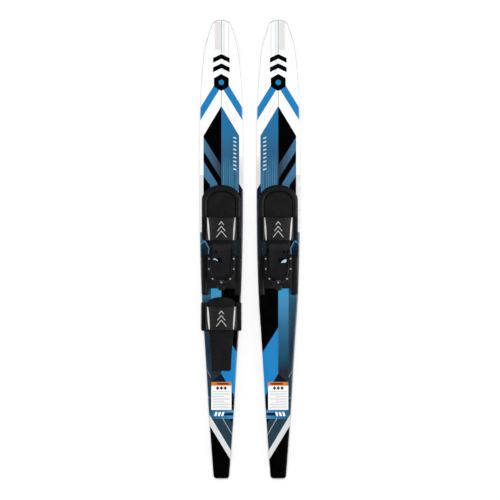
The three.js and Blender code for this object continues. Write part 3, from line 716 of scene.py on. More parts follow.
def binding_pattern():
    """Beside the binding and behind it."""
    hook = [(-79, 836), (-73.7, 826.5), (-64.4, 820.6), (-59, 822), (-46.5, 845), (-48.9, 878)]
    return [
        ("navy", [(65.5, 604), (90, 645), (90, 1000), (40, 1000), (40, 640), (65.5, 640)]),
        ("teal_right", box(40, 808, 74, 884)),
        ("near_black", [(74, 808), (90, 808), (90, 1000), (66, 1000), (66, 884), (74, 884)]),
        ("steel_blue", box(-90, 786, -40, 820)),
        ("teal", box(-90, 818, -20, 1024)),
        ("near_black", [(-62, 812), (-20, 812), (-20, 890), (-46.5, 890), (-44.5, 846)]),
        ("teal", [(-90, 818), (-62, 818), (-46.5, 845), (-48.7, 885), (-90, 885)]),
        ("hook", stroke(hook, 3.9)),
        ("black", [(0, 985), (90, 985), (90, 1290), (57, 1232), (0, 1140.6)]),
        ("bright", [(0, 1140.6), (70, 1252), (70, 1432), (0, 1311.7)]),
        ("navy_flat", [(0, 1311.7), (70, 1432), (70, 1470), (-40, 1470), (-40, 1311.7)]),
        ("side", box(-90, 1018, -38.7, 1470)),
        ("stripe", [(-38.7, 985), (0, 985), (0, 1312), (-38.7, 1345)]),
        ("near_black", [(37.6, 1392), (60, 1430), (60, 1452), (37.6, 1452)]),
        ("hairline", stroke([(-38.7, 1325), (-54, 1300)], 1.0)),
        ("hairline", stroke([(-40, 1406), (-54, 1394)], 1.0)),
    ]


def tail_pattern():
    """The band with three slanted bars, the hatched tail and the blank label."""
    rows = [
        ("slate_hatch", box(-80, 1447, 80, 1720)),
        ("mark_band", box(-41, 1447, 70, 1480)),
        ("navy_bar", box(4, 1458, 60, 1468)),
        *[("label", [(x, 1455), (x + 8, 1455), (x + 3, 1470), (x - 5, 1470)]) for x in (-22, -9, 4)],
        ("near_black", [(30, 1480), (60, 1480), (60, 1524)]),
        ("hairline", stroke([(4, 1477), (45, 1548)], 1.6)),
        ("white_hatch", [(-60, 1438.5), (-60, 1478), (50, 1659), (50, 1622.5)]),
        ("black", [(-60, 1478), (50, 1659), (50, 1720), (-60, 1720)]),
        ("label", box(-37.6, 1343, 37.6, 1447)),
        ("label_band", box(-37.6, 1343, 37.6, 1357)),
    ]
    for x in (-14, 0, 14):
        rows += [("brown", lozenge(x, 1366, 6.8, 7.6)), ("slate", lozenge(x, 1366, 4, 4.4))]
    rows.append(("brown", box(-17, 1346.8, 27, 1353.4)))
    for i in range(11):
        end = 33 - (23 if i in (3, 6) else 5 * (i % 2))
        rows.append(("label_grey", box(-33, 1378 + 6 * i, end, 1380.4 + 6 * i)))
    return rows


# ---- Ski and fin ----

EDGE_WIDTH = 4.6
EDGE_DROP = 3.8
BASE_EDGE_WIDTH = 3.2
BASE_EDGE_RISE = 3
SHELL_OVER = 0.3
PRINT_OVER = 1.2
PRINT_THICKNESS = 0.75
PALE_EDGE = 1.2
PALE_EDGE_END = 560


def plan_outline(step=11):
    """The plan of the ski as one loop."""
    straight = LENGTH - NOSE_LENGTH - TAIL_CORNER
    count = round(straight / step)
    nose = [NOSE_LENGTH * (1 - math.cos(math.pi / 2 * i / 10)) for i in range(10)]
    middle = [NOSE_LENGTH + straight * i / count for i in range(count + 1)]
    tail = [LENGTH - TAIL_CORNER * (1 - math.sin(math.pi / 2 * i / 7)) for i in range(1, 8)]
    return both_sides([(half_width(s), s) for s in nose + middle + tail])


OUTLINE = plan_outline()
EDGE_RINGS = [offset(OUTLINE, d) for d in (0.35, 1.2, 2.6, EDGE_WIDTH)]


def over_deck(xy, over):
    """Heights over the deck, falling away round its edge."""
    level = np.array([deck(min(max(s, 0), LENGTH)) for _, s in xy])
    return level + over - rounded(distance([OUTLINE], xy), EDGE_WIDTH, EDGE_DROP)


def ski_shell(build):
    xy, triangles, _ = triangulate(OUTLINE, guides=EDGE_RINGS, grid=13)
    base = np.array([base_height(s) + tunnel(x, s) for x, s in xy])
    bottom = base + rounded(distance([OUTLINE], xy), BASE_EDGE_WIDTH, BASE_EDGE_RISE)
    shell(build, xy, triangles, over_deck(xy, SHELL_OVER), bottom, side_ink=1)


def top_sheet(build):
    rows = tip_pattern() + middle_pattern() + binding_pattern() + tail_pattern()
    guides = EDGE_RINGS + [polygon for _, polygon in rows]
    xy, triangles, middles = triangulate(OUTLINE, guides=guides, grid=17)
    white = INK_NAMES.index("white")
    ink = np.full(len(triangles), white)
    for name, polygon in rows:
        ink[inside(polygon, middles)] = INK_NAMES.index(name)
    at_edge = (distance([OUTLINE], middles) < PALE_EDGE) & (middles[:, 1] < PALE_EDGE_END)
    ink[at_edge] = INK_NAMES.index("edge")
    top = over_deck(xy, PRINT_OVER)
    shell(build, xy, triangles, top, top - PRINT_THICKNESS, [int(i) for i in ink], white)


# ---- Fin ----

FIN_START = 1548
FIN_END = 1678
FIN_DEPTH = 56
FIN_GAP = 0.3
FIN_FOOT_THICKNESS = 3.2
FIN_FOOT = base_height((FIN_START + FIN_END) / 2) - FIN_GAP - FIN_FOOT_THICKNESS
FIN_SCREWS = (1556, 1670)


def fin(build):
    """A blade with a swept front edge, under a foot that is screwed to the base."""

    def leading(t):
        weights = ((1 - t) ** 3, 3 * t * (1 - t) ** 2, 3 * t * t * (1 - t), t**3)
        station = sum(w * p for w, p in zip(weights, (14, 20, 50, 84)))
        depth = sum(w * p for w, p in zip(weights, (0, 0.6, 1, 1)))
        return FIN_START + station, depth

    rings = []
    for i in range(19):
        front, depth = leading(i / 18)
        back = FIN_END - 20 + 5 * depth - 10 * max(0, depth - 0.8) / 0.2
        back = max(back, front + 3)
        ring = []
        for j in range(20):
            turn = 2 * math.pi * j / 20
            chord = 0.5 - 0.5 * math.cos(turn)
            thick = 2.5 * (1 - 0.45 * depth) * math.copysign(abs(math.sin(turn)) ** 0.6, math.sin(turn))
            ring.append((thick, front + (back - front) * chord, FIN_FOOT - 2.4 - (FIN_DEPTH - 3.1) * depth))
        rings.append(ring)
    loft(build, rings)
    outline = box_outline(-12, 12, FIN_START, FIN_END, 5)
    holes = [circle(0, s, 2.75, 16) for s in FIN_SCREWS]
    lower = Build()
    plate(lower, outline, 0, 3, 1.1, holes)
    build.add([(x, s, FIN_FOOT - z) for x, s, z in lower.points], lower.faces)


# ---- Binding frame ----

FRAME_HALF = 73
FRAME_INNER = 53.5
PAD_LOW = SEAT + 4.3
TOE_TURN = 677
TOE_REACH = 44
RIM_TURN = 668
RIM_REACH = 58
RIM_END = 815
RAIL_START = 875
RAIL_END = 1020
RACK_TOOTH = 980.4
RACK_PITCH = 8.5
# Shares of the way from the outer edge to the inner one with heights, then the rail's own x with heights.
RIM_SECTION = [(0, 0), (0, 6.5), (0.04, 8.9), (0.12, 11.1), (0.25, 12.9), (0.4, 13.8), (0.56, 14.1)]
RIM_SECTION += [(0.74, 13.8), (0.86, 13.0), (0.95, 11.4), (1, 8.6), (1.03, 4), (1.03, 0)]
RIM_DIMPLES = (690, 741, 797)
RAIL_SECTION = [(73, 0), (73, 9.5), (72.3, 11.8), (70.4, 13.4), (68, 14), (63.5, 13.5), (59, 14), (56, 13.7)]
RAIL_SECTION += [(54.2, 12.6), (53.5, 11), (53.5, 7.8), (57.6, 7.8), (57.6, 4), (49, 4), (49, 0)]


def rim_ring(outer, inner, sink=0.0):
    """Section of the rim between two points in plan, with its crown sunk where a dimple lies."""
    (x0, s0), (x1, s1) = outer, inner
    heights = [(u, SEAT + z - (sink if z > 9 else 0)) for u, z in RIM_SECTION]
    return [(x0 + (x1 - x0) * u, s0 + (s1 - s0) * u, z) for u, z in heights]


def front_rim(build):
    """The rim round the toe, from one side of the strap to the other, with shallow moulded dimples."""
    side, front = [], []
    for i in range(61):
        station = RIM_END - (RIM_END - TOE_TURN) * i / 60
        sink = 0.9 * max(math.exp(-(((station - c) / 2.6) ** 2)) for c in RIM_DIMPLES)
        half = FRAME_HALF - 4.8 * ease((station - RIM_END) / 15 + 1)
        side.append(rim_ring((-half, station), (-FRAME_INNER, station), sink))
    for turn in (math.pi * i / 48 for i in range(1, 48)):
        outer = (-FRAME_HALF * math.cos(turn), RIM_TURN - RIM_REACH * math.sin(turn))
        inner = (-FRAME_INNER * math.cos(turn), TOE_TURN - TOE_REACH * math.sin(turn))
        front.append(rim_ring(outer, inner))
    loft(build, side + front + [[(-x, s, z) for x, s, z in ring] for ring in reversed(side)])


def rails(build, section, stations, radius, dip=0.0):
    """A pair of rails with rounded ends, whose tops dip towards the ends."""
    half = section[0][0]
    for side in (-1, 1):
        rings = []
        for station in stations:
            near = min(station - stations[0], stations[-1] - station)
            shy = radius * (1 - math.sqrt(max(0, 1 - (1 - min(near, radius) / radius) ** 2)))
            drop = dip * (1 - min(near, 6) / 6) ** 2
            lowered = [(x, z - drop if z > 8 else z) for x, z in section]
            rings.append([(side * min(x, half - shy), station, SEAT + z) for x, z in lowered])
        loft(build, rings)


def frame_floor(build):
    plate(build, front_arc(54.5, 632, 45) + [(54.5, 818), (-54.5, 818)], SEAT, SEAT + 4, 0.6)
    plate(build, box_outline(-44, 44, 812, 884, 3), SEAT, SEAT + 3.97, 0.8)
    plate(build, box_outline(-53.2, 53.2, 876, 985, 3), SEAT, SEAT + 3.94, 0.8)
    rack = [RACK_TOOTH + RACK_PITCH * n for n in (1, 2)]
    notches = [box_outline(-7, 7, s - 1.8, s + 1.8, 0.8) for s in rack]
    plate(build, box_outline(-10, 10, 983, 1003, 2), SEAT, SEAT + 3.9, 0.5, notches)


def binding_frame(build):
    stations = [RAIL_START + d for d in (0, 0.8, 2.4, 5, 9)] + [890 + 8 * i for i in range(15)]
    rails(build, RAIL_SECTION, stations + [RAIL_END - d for d in (11, 6.5, 3.4, 1.2, 0)], 9, 2.6)
    front_rim(build)
    frame_floor(build)
    for side in (-1, 1):
        for station in (700, 752, 806, 888, 950, 1006):
            plate(build, circle(side * 63.3, station, 3.6, 14), SEAT + 11, SEAT + 14.7, 0.9)


def toe_pad(build):
    outline = front_arc(51.6, 635, 42) + [(51.6, 794), (-51.6, 794)]
    plate(build, outline, PAD_LOW, SEAT + 10.9, 2.4, dome=1.1, dome_reach=26, grid=7)
    for station in range(652, 790, 10):
        reach = 47 if station > 680 else 47 * math.sqrt(1 - ((TOE_TURN - station) / 42) ** 2) - 3
        if reach > 8:
            groove = box_outline(-reach, reach, station - 1.3, station + 1.3, 1.2, 2)
            drape(build, groove, lambda x, s: SEAT + 11.95 - 1.1 * (abs(x) / 50) ** 4, 0.45, 0.8, 9)


# ---- Straps ----


STRAP_SEAT = SEAT + 14.3
FOOT_THICKNESS = 3.2
STRAP_THICKNESS = 3.4


class Strap:
    """An overlay arched over the foot: its foot lies under the clamps, its arch rises towards the heel."""

    def __init__(self, reach, start, bow):
        self.reach = reach
        self.start = start
        self.bow = bow
        self.foot = reach - STRAP_FOOT

    def level(self, x, station):
        """Height of the outer face."""
        low = STRAP_SEAT + FOOT_THICKNESS
        if abs(x) >= self.foot:
            return low
        back = min(1.05, max(-0.1, (station - self.start) / STRAP_LENGTH))
        arch = (1 - (abs(x) / self.foot) ** 2.2) ** 0.5
        return low + (STRAP_CROWN - FOOT_THICKNESS) * (0.8 + 0.2 * back) * arch

    def outer(self, u, station):
        """x and height of the outer face, for u from -1 to 1 along the arch."""
        x = self.foot * math.sin(abs(u) * math.pi / 2) ** 0.94
        return math.copysign(x, u), self.level(min(x, self.foot - 1e-6), station)

    def place(self, u, v):
        """Point of the outer face, v of the way to its rear edge, and the x and z of its normal."""
        middle = math.cos(min(1, abs(u)) * math.pi / 2)
        front, rear = self.start + 3.2 * middle, self.start + STRAP_LENGTH + self.bow * middle
        station = front + (rear - front) * v
        x0, z0 = self.outer(max(-1, u - 0.02), station)
        x1, z1 = self.outer(min(1, u + 0.02), station)
        d = math.hypot(x1 - x0, z1 - z0) or 1
        x, z = self.outer(u, station)
        return x, station, z, -(z1 - z0) / d, (x1 - x0) / d

    def section(self, v, shrink):
        """Closed ring across the strap, made smaller all round by the shrink."""
        outer, inner = [], []
        thick = STRAP_THICKNESS - shrink
        for i in range(45):
            x, station, z, nx, nz = self.place(-1 + 2 * i / 44, v)
            outer.append((x - nx * shrink, station, z - nz * shrink))
            inner.append((x - nx * thick, station, max(z - nz * thick, STRAP_SEAT + shrink)))
        heights = (STRAP_SEAT + shrink, STRAP_SEAT + FOOT_THICKNESS - shrink)
        left = [(shrink - self.reach, outer[0][1], z) for z in heights]
        return left + outer + [(-x, s, z) for x, s, z in reversed(left)] + inner[::-1]

    def body(self, build):
        rows = [(0, 1.5), (0.006, 0.6), (0.016, 0.1)] + [(0.03 + 0.94 * i / 16, 0) for i in range(17)]
        rows += [(0.984, 0.1), (0.994, 0.6), (1, 1.5)]
        loft(build, [self.section(v, shrink) for v, shrink in rows])

    def band(self, build, u0, u1, v0, v1, proud, across, down):
        """A raised panel on the arch, between two shares of it."""
        top, low = [], []
        for j in range(down + 1):
            edge = min(1, j / 1.5, (down - j) / 1.5)
            for i in range(across + 1):
                x, s, z, nx, nz = self.place(u0 + (u1 - u0) * i / across, v0 + (v1 - v0) * j / down)
                rise = proud * edge * min(1, min(i, across - i) / 0.9)
                top.append((x + nx * rise, s, z + nz * rise))
                low.append((x - nx * 0.6, s, z - nz * 0.6))
        layer(build, top, low, across, down)

    def panels(self, build):
        """The wide knit panel over the foot and a narrow one beside each clamp."""
        self.band(build, -0.6, 0.6, 0.035, 0.965, 1.3, 34, 26)
        for u in (-0.9, 0.9):
            self.band(build, u - 0.05, u + 0.05, 0.06, 0.94, 1.6, 4, 20)

    def piping(self, build):
        """Tapered raised strips along the strap, leaning inwards towards the rear."""
        for side in (-1, 1):
            rings = []
            for t in (i / 34 for i in range(35)):
                station = self.start + 1.5 + (STRAP_LENGTH - 1) * t
                half = 0.9 + 2.4 * math.sin(math.pi * (0.06 + 0.86 * t)) ** 0.8
                ring = []
                for angle in (2 * math.pi * i / 12 for i in range(12)):
                    x = 50.5 - 6 * t + half * math.cos(angle)
                    z = self.level(x, station) + 0.9 + 1.3 * math.sin(angle)
                    ring.append((side * (x + 0.6), station, z))
                rings.append(ring)
            loft(build, rings)

    def stitching(self, build):
        """Two rows of lock stitches along the arch."""
        wide = Vector((0, -0.55, 0))
        for v in (0.055, 0.945):
            for i in range(54):
                ends = [self.place(-0.86 + 1.72 * (i + share) / 54, v) for share in (0.14, 0.86)]
                (a, na), (b, nb) = [(Vector(end[:3]), Vector((end[3], 0, end[4]))) for end in ends]
                rows = []
                for share, size, lift in ((0, 0.35, 0.3), (0.3, 1, 1.05), (0.7, 1, 1.05), (1, 0.35, 0.3)):
                    up = na.lerp(nb, share)
                    rows.append((a.lerp(b, share) + up * 0.2, wide * size, up * lift, up * 0.5))
                thread(build, rows)

    def emblem(self, build):
        """Three plain thin chevrons, one behind the other, each wider than the one in front of it."""
        for i, arm in enumerate((9.5, 14.25, 19)):
            apex = self.start + 17 + 17 * i
            points = [(arm * k / 5, apex + 1.25 * arm * abs(k) / 5) for k in range(-5, 6)]
            drape(build, stroke(points, 2.3), self.level, 2.1, -0.9, 4)

    def clamp(self, build, side):
        """The bar that holds one edge of the strap, with three shallow ribs."""
        x0, x1 = sorted((side * (self.foot + 1), side * self.reach))
        low = SEAT + 14 + FOOT_THICKNESS + 0.6
        plate(build, box_outline(x0, x1, self.start, self.start + STRAP_LENGTH, 4), low, low + 5.4, 1.6)
        middle = side * (self.foot + STRAP_FOOT / 2 + 0.5)
        for share in (0.2, 0.5, 0.8):
            station = self.start + STRAP_LENGTH * share
            rib = box_outline(middle - 4.6, middle + 4.6, station - 8, station + 8, 2.4)
            plate(build, rib, low + 5, low + 6.3, 0.7)


# ---- Heel ----

CARRIAGE_TOP = SEAT + 9.3
SOLE = CARRIAGE_TOP + 0.3
BAND_LOW = CARRIAGE_TOP + 3.6
ACCESS_HOLE = (-21.6, 860)
CUP_FRONT = 848
CUP_LOW = 52
CUP_RISE = 43
CUP_RADIUS = 39.7
CUP_LINE = 39.6
# Radius at the foot and share of the height, from the inside of the foot over the rim and down again.
CUP_SECTION = [(36.2, 0.0), (36.0, 0.2), (36.0, 0.45), (36.0, 0.7), (35.9, 0.9), (35.4, 0.955), (35.6, 0.985)]
CUP_SECTION += [(36.6, 1.0), (38.2, 1.0), (39.8, 0.985), (40.3, 0.955), (39.9, 0.9), (39.6, 0.7), (39.6, 0.45)]
CUP_SECTION += [(39.6, 0.2), (40.0, 0.06), (41.6, 0.01), (42.4, 0.0)]
RIVETS = [(side * 46, s) for side in (-1, 1) for s in (885, 923)] + arc(0, HEEL_CENTRE, 46, 46, 135, 45, 2)
DASHES = 40
DASH_RADIUS = 41.6
DASH_FRONT = 880
WINDOW = (-12, 889.5)
WINDOW_PRINT = {
    "left": [(-33, 888), (-29, 884.5), (-22, 884), (-13, 890.5), (-14, 894), (-21, 889.5), (-27, 888.5)],
    "right": [(-10, 900.5), (-15, 893), (-24, 887.5), (-35, 886), (-33.5, 893), (-27, 899)],
}


def heel_carriage(build):
    half = [(40, 826), (43, 829), (43, 869), (46, 872), (50, 873), (50, 902), (53.2, 905), (53.2, 992)]
    half += [(50, 995.5), (13.4, 995.5), (13, 994), (13, 972), (12, 970.5)]
    plate(build, both_sides(half), PAD_LOW, CARRIAGE_TOP, 0.9, [circle(*ACCESS_HOLE, 5)])
    for side in (-1, 1):
        tongue = box_outline(*sorted((side * 52, side * 57)), 905, 995.5, 1.5)
        plate(build, tongue, PAD_LOW, SEAT + 7, 0.5)
        for station in (978, 986):
            rib = box_outline(*sorted((side * 18, side * 48)), station, station + 2.6, 1)
            plate(build, rib, CARRIAGE_TOP - 0.5, CARRIAGE_TOP + 1.1, 0.6)


def heel_pad(build):
    corners = [(-35.2, 834), (-31, 830), (31, 830), (35.2, 834)]
    plan = arc(0, HEEL_CENTRE, 35.2, 35.2, 0, 180, 26) + corners
    plate(build, plan, SOLE, SOLE + 5.6, 1.8, [circle(*ACCESS_HOLE, 5.2)], dome=-1.2, dome_reach=22, grid=7)


def u_path(front, straight, steps):
    """Rows of (out_x, out_s, station) on the U round the heel, from its left front end to its right one."""
    flank = [front + (HEEL_CENTRE - front) * i / straight for i in range(straight)]
    bend = [(x, s, HEEL_CENTRE) for x, s in arc(0, 0, 1, 1, 180, 0, steps)]
    return [(-1, 0, s) for s in flank] + bend + [(1, 0, s) for s in reversed(flank)]


def u_place(share, front, radius):
    """The place a share of the way along a U of this radius."""
    straight = HEEL_CENTRE - front
    total = 2 * straight + math.pi * radius
    at = share * total
    turn = min(math.pi, max(0, (at - straight) / radius))
    before = min(0, at - straight) + min(0, total - straight - at)
    return -math.cos(turn), math.sin(turn), HEEL_CENTRE + before


def cup_point(place, share, radius, tilt=None):
    """Point of the cup at a place and a share of its height; the radius is that of its foot.

    The cup is low in front and high behind. It leans in by the square of the tilt, or else of the share, and
    its front edges slant back towards their tops.
    """
    out_x, out_s, station = place
    height = CUP_LOW + CUP_RISE * ease((station + 36 * out_s - CUP_FRONT) / 100)
    lean = 3.2 * ease((height - CUP_LOW) / CUP_RISE)
    radius -= lean * (tilt or share) ** 2
    rake = 15 * share**1.6 * (HEEL_CENTRE - station) / (HEEL_CENTRE - CUP_FRONT)
    level = 3 + (height - 3) * share if share else 0
    return out_x * radius, station + rake + out_s * radius, SOLE + level


def heel_cup(build):
    path = u_path(CUP_FRONT, 26, 44)
    loft(build, [[cup_point(place, share, radius) for radius, share in CUP_SECTION] for place in path])
    plate(build, flange_plan(52.3, 868), SOLE, SOLE + 3)


def cup_band(build, share0, share1, low, high, proud, across, down):
    """A raised layer on the outer face of the cup, with its edges turned in."""
    outer, inner = [], []
    for j in range(down + 1):
        for i in range(across + 1):
            place = u_place(share0 + (share1 - share0) * i / across, CUP_FRONT, CUP_LINE)
            height = low + (high - low) * j / down
            near = min(i, across - i, 2 * j, 2 * (down - j)) / 2
            outer.append(cup_point(place, height, CUP_RADIUS + proud * min(1, 0.25 + 0.75 * near)))
            inner.append(cup_point(place, height, CUP_RADIUS - 0.5))
    layer(build, outer, inner, across, down)


def cup_panels(build):
    """Knit panels sewn on both flanks and a strip down the back seam."""
    for share0, share1 in ((0.06, 0.4), (0.6, 0.94)):
        cup_band(build, share0, share1, 0.12, 0.62, 1.2, 36, 8)
    cup_band(build, 0.47, 0.53, 0.08, 0.8, 1.7, 6, 20)


def cup_collar(build):
    """Soft collar under the rim of the cup."""
    cup_band(build, 0.015, 0.985, 0.8, 0.93, 1.5, 80, 4)


def flange_plan(outer, front, inner=37.5):
    """A flat U round the cup, with its front corners cut."""
    far = arc(0, HEEL_CENTRE, outer, outer, 180, 0, 30)
    near = arc(0, HEEL_CENTRE, inner, inner, 0, 180, 30)
    left = [(-inner, front), (4 - outer, front), (1.2 - outer, front + 1.2), (-outer, front + 4)]
    return left + far + flipped(left)[::-1] + near


def heel_tab(build):
    """Pull loop at the back of the cup."""
    rings = []
    for t in (i / 14 for i in range(15)):
        wave = math.sin(math.pi * t)
        z = SOLE + 60 + 34 * t
        out = HEEL_CENTRE + 39.4 + 2.6 * wave - 2.2 * t
        half = 9 - 1.5 * wave
        rings.append([(-half, out - 1, z), (-half, out + 1, z), (half, out + 1, z), (half, out - 1, z)])
    loft(build, rings)


def heel_band(build):
    plate(build, flange_plan(51.9, 873, 41.4), BAND_LOW, BAND_LOW + 2.3, 0.8)


def rivets(build):
    for x, station in RIVETS:
        rings = []
        for radius, z in ((3.4, 0), (3.4, 0.5), (3.05, 1.1), (2.3, 1.6), (1.2, 1.85), (0.5, 1.9)):
            rings.append([(px, ps, BAND_LOW + 2.1 + z) for px, ps in circle(x, station, radius, 18)])
        loft(build, rings)


def heel_stitches(build):
    """Stitches along the cup, under its padded rim."""
    up = Vector((0, 0, 0.45))
    for place in u_path(852, 22, 40):
        out = Vector((place[0], place[1], 0))
        reach = Vector((-place[1], place[0], 0)) * 1.25
        centre = Vector(cup_point(place, 0.88, 39.75, 0.9))
        rows = []
        for share, size in ((-1, 0.4), (-0.4, 1), (0.4, 1), (1, 0.4)):
            rows.append((centre + reach * share, up * size, out * 0.7 * size, out * 0.4))
        thread(build, rows)


def heel_dashes(build):
    """Thick dark dashes from the band into the foot of the cup, all the way round, shaped as whip stitches:
    painted shadow of the gap between the band and the cup.
    """
    up = Vector((0, 0, 1))
    for i in range(DASHES):
        out_x, out_s, station = u_place((i + 0.5) / DASHES, DASH_FRONT, DASH_RADIUS)
        out = Vector((out_x, out_s, 0))
        side = Vector((out_s, -out_x, 0)) * 1.3
        centre = Vector((0, station, CARRIAGE_TOP + 5.3)) + out * DASH_RADIUS
        reach = out * 1.9 + up * 0.9
        rows = []
        for share, size in ((-1, 0.5), (-0.5, 1), (0.5, 1), (1, 0.5)):
            rows.append((centre + reach * share, side * size, up * 0.95 * size, up * 0.5 * size))
        thread(build, rows)


def lock_lever(build):
    pivot = SEAT + LEVER_PIVOT_HEIGHT
    barrel = circle(LEVER_PIVOT, pivot, 2.3, 18)
    loft(build, [[(x, s, z) for s, z in barrel] for x in (-8, 8)])
    plate(build, box_outline(-8, 8, 974.5, 986, 1), pivot - 1.4, pivot + 0.6, 0.5)
    plate(build, box_outline(-12.4, 12.4, 984, 1001, 4), pivot - 1.4, pivot + 2.8, 1.3)
    for station in (988, 991.5, 995):
        plate(build, box_outline(-8.5, 8.5, station, station + 1.7, 0.8), pivot + 2, pivot + 3.6, 0.6)
    plate(build, box_outline(-6.4, 6.4, RACK_TOOTH - 1, RACK_TOOTH + 1, 0.4), SEAT + 4.35, pivot, 0.2)


def sole_window(build):
    """A dark plate of painted shade where the window in the sole shows the shaded deck below, and a dark ring
    of painted shade round the access hole that makes its dark opening wider.
    """
    low = SOLE + 2.4
    x0, s0 = WINDOW
    plate(build, [(x0 + 1.4 * x, s0 + 0.95 * s) for x, s in circle(0, 0, 9.3, 26)], low, low + 2.5, 0.4)
    # ring of painted shade round the access hole
    plate(build, circle(*ACCESS_HOLE, 7.8, 26), low, low + 2.6, 0.5, [circle(*ACCESS_HOLE, 5, 26)])


def window_print(build, side):
    """The light edge of the print that shows through the window, larger in the right ski."""
    plate(build, WINDOW_PRINT[side], SOLE + 3.9, SOLE + 5.15, 0.15)


# ---- Rear toe plate ----


REAR_RAIL = [(75, 0), (75, 9.5), (74.2, 12), (72, 13.6), (69, 14), (59, 14), (56, 13.3), (54.5, 11.5)]
REAR_RAIL += [(54.5, 4), (48, 4), (48, 0)]


def rear_plate(build):
    corner = [(51.5, 1154), (50.9, 1155.4), (49.5, 1156)]
    plate(build, front_arc(51.5, 1027, 23) + both_sides(corner), SEAT, SEAT + 4, 0.8)
    taper = [(45.5, 1150), (38.5, 1243), (35.5, 1298), (33, 1301), (30, 1302)]
    plate(build, flipped(taper) + taper[::-1], SEAT, SEAT + 3.95, 0.8)
    stations = [1046 + d for d in (0, 1.2, 3.4, 7)] + [1062 + 9 * i for i in range(9)]
    rails(build, REAR_RAIL, stations + [1153 - d for d in (7, 3.4, 1.2, 0)], 6)


def rear_pad(build):
    half = [(50.5, 1140), (48, 1148), (44.4, 1152), (37.5, 1243), (34.5, 1296), (32, 1300), (29, 1301)]
    outline = front_arc(50.5, 1028.5, 22) + both_sides(half)
    plate(build, outline, PAD_LOW, SEAT + 10.8, 2.2, dome=1.2, dome_reach=24, grid=8)
    for station in range(1168, 1292, 10):
        reach = 37.5 - (station - 1168) * 0.075
        groove = box_outline(-reach, reach, station - 1.2, station + 1.2, 1.1, 2)
        drape(build, groove, lambda x, s: SEAT + 11.9 - 1.0 * (abs(x) / 38) ** 4, 0.5, 0.8, 9)


# ---- Putting the pieces in the frame ----

PRINTS = [gloss_print(f"print_{name}", colours) for name, colours in INKS.items()]
PRINTS += [hatch_print(f"print_{name}", *hatch) for name, hatch in HATCHES.items()]
MATERIALS = {
    "print": PRINTS,
    "ski": [laminate("base_laminate", "1B1F24"), laminate("side_laminate", "17191C")],
    "moulding": moulded("frame_nylon", "101012", 0.5),
    "carriage": moulded("carriage_nylon", "121213", 0.5),
    "clamp": moulded("clamp_nylon", "0D0D0F", 0.5),
    "lever": moulded("lever_nylon", "1C1C1E", 0.4),
    "fin": moulded("fin_nylon", "1E2124", 0.34),
    "foam": pebbled("pad_foam", "141313"),
    "heel_foam": pebbled("heel_foam", "222124", 520.0),
    "overlay": woven("overlay_knit", "161618", "4A4A4C"),
    "panel": woven("panel_knit", "1A1A1B", "58585A", 1.3),
    "piping": rubbery("piping_rubber", "EFEFEB"),
    "emblem": rubbery("emblem_rubber", "CDCDCB", 0.45),
    "cup_panel": woven("cup_knit", "121213", "3E3E40", 1.3, 0.0),
    "cup": rubbery("cup_rubber", "0B0B0C", 0.72, 0.16),
    "band": rubbery("band_rubber", "1B1B1D", 0.55),
    # painted shadow: near-black dashes for the shade in the gap between the heel band and the cup
    "dash": rubbery("dash_thread", "040405", 0.8, 0.16),
    "thread": rubbery("thread", "1A1A1B", 0.75, 0.16),
    "rivet": metal("rivet_steel", "B4B6B8", 0.4, 0.25),
    "steel": metal("screw_steel", "BFC2C5", 0.3),
    # painted shade: near-black inside of the sole window and round the access hole
    "window": gloss_print("window_dark", "070A16"),
    "window_light": gloss_print("window_print", "BFE3F2"),
}


def make(side, name, draw, material, part, node=None, angle=34):
    """Makes one piece, ties it to its body, and hides the frame node it stands in for."""
    build = Build()
    draw(build)
    full = f"{side}_{name}"
    data = bpy.data.meshes.new(full)
    places = [SKI[side] @ Vector((MIRROR[side] * x, along(s), z)) for x, s, z in build.points]
    data.from_pydata(places, [], build.faces)
    looks = MATERIALS[material]
    for look in looks if isinstance(looks, list) else [looks]:
        data.materials.append(look)
    data.polygons.foreach_set("material_index", build.inks)
    mesh = bmesh.new()
    mesh.from_mesh(data)
    bmesh.ops.remove_doubles(mesh, verts=mesh.verts, dist=1e-7)
    bmesh.ops.recalc_face_normals(mesh, faces=mesh.faces)
    mesh.to_mesh(data)
    mesh.free()
    data.shade_smooth()
    data.set_sharp_from_angle(angle=math.radians(angle))
    made = bpy.data.objects.new(full, data)
    bpy.context.scene.collection.objects.link(made)
    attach(made, f"{side}_{part}")
    if node:
        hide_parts(node)


def add_strap(side, label, node, strap):
    make(side, f"{label}_strap", strap.body, "overlay", "ski", f"{node}_strap")
    make(side, f"{label}_strap_panel", strap.panels, "panel", "ski")
    make(side, f"{label}_strap_piping", strap.piping, "piping", "ski")
    make(side, f"{label}_strap_stitching", strap.stitching, "thread", "ski", angle=60)
    make(side, f"{label}_strap_emblem", strap.emblem, "emblem", "ski")
    for turn in (-1, 1):
        hand = "left" if turn == -MIRROR[side] else "right"
        clamp = partial(strap.clamp, side=turn)
        make(side, f"{label}_clamp_{hand}", clamp, "clamp", "ski", f"{node}_clamp_{hand}")


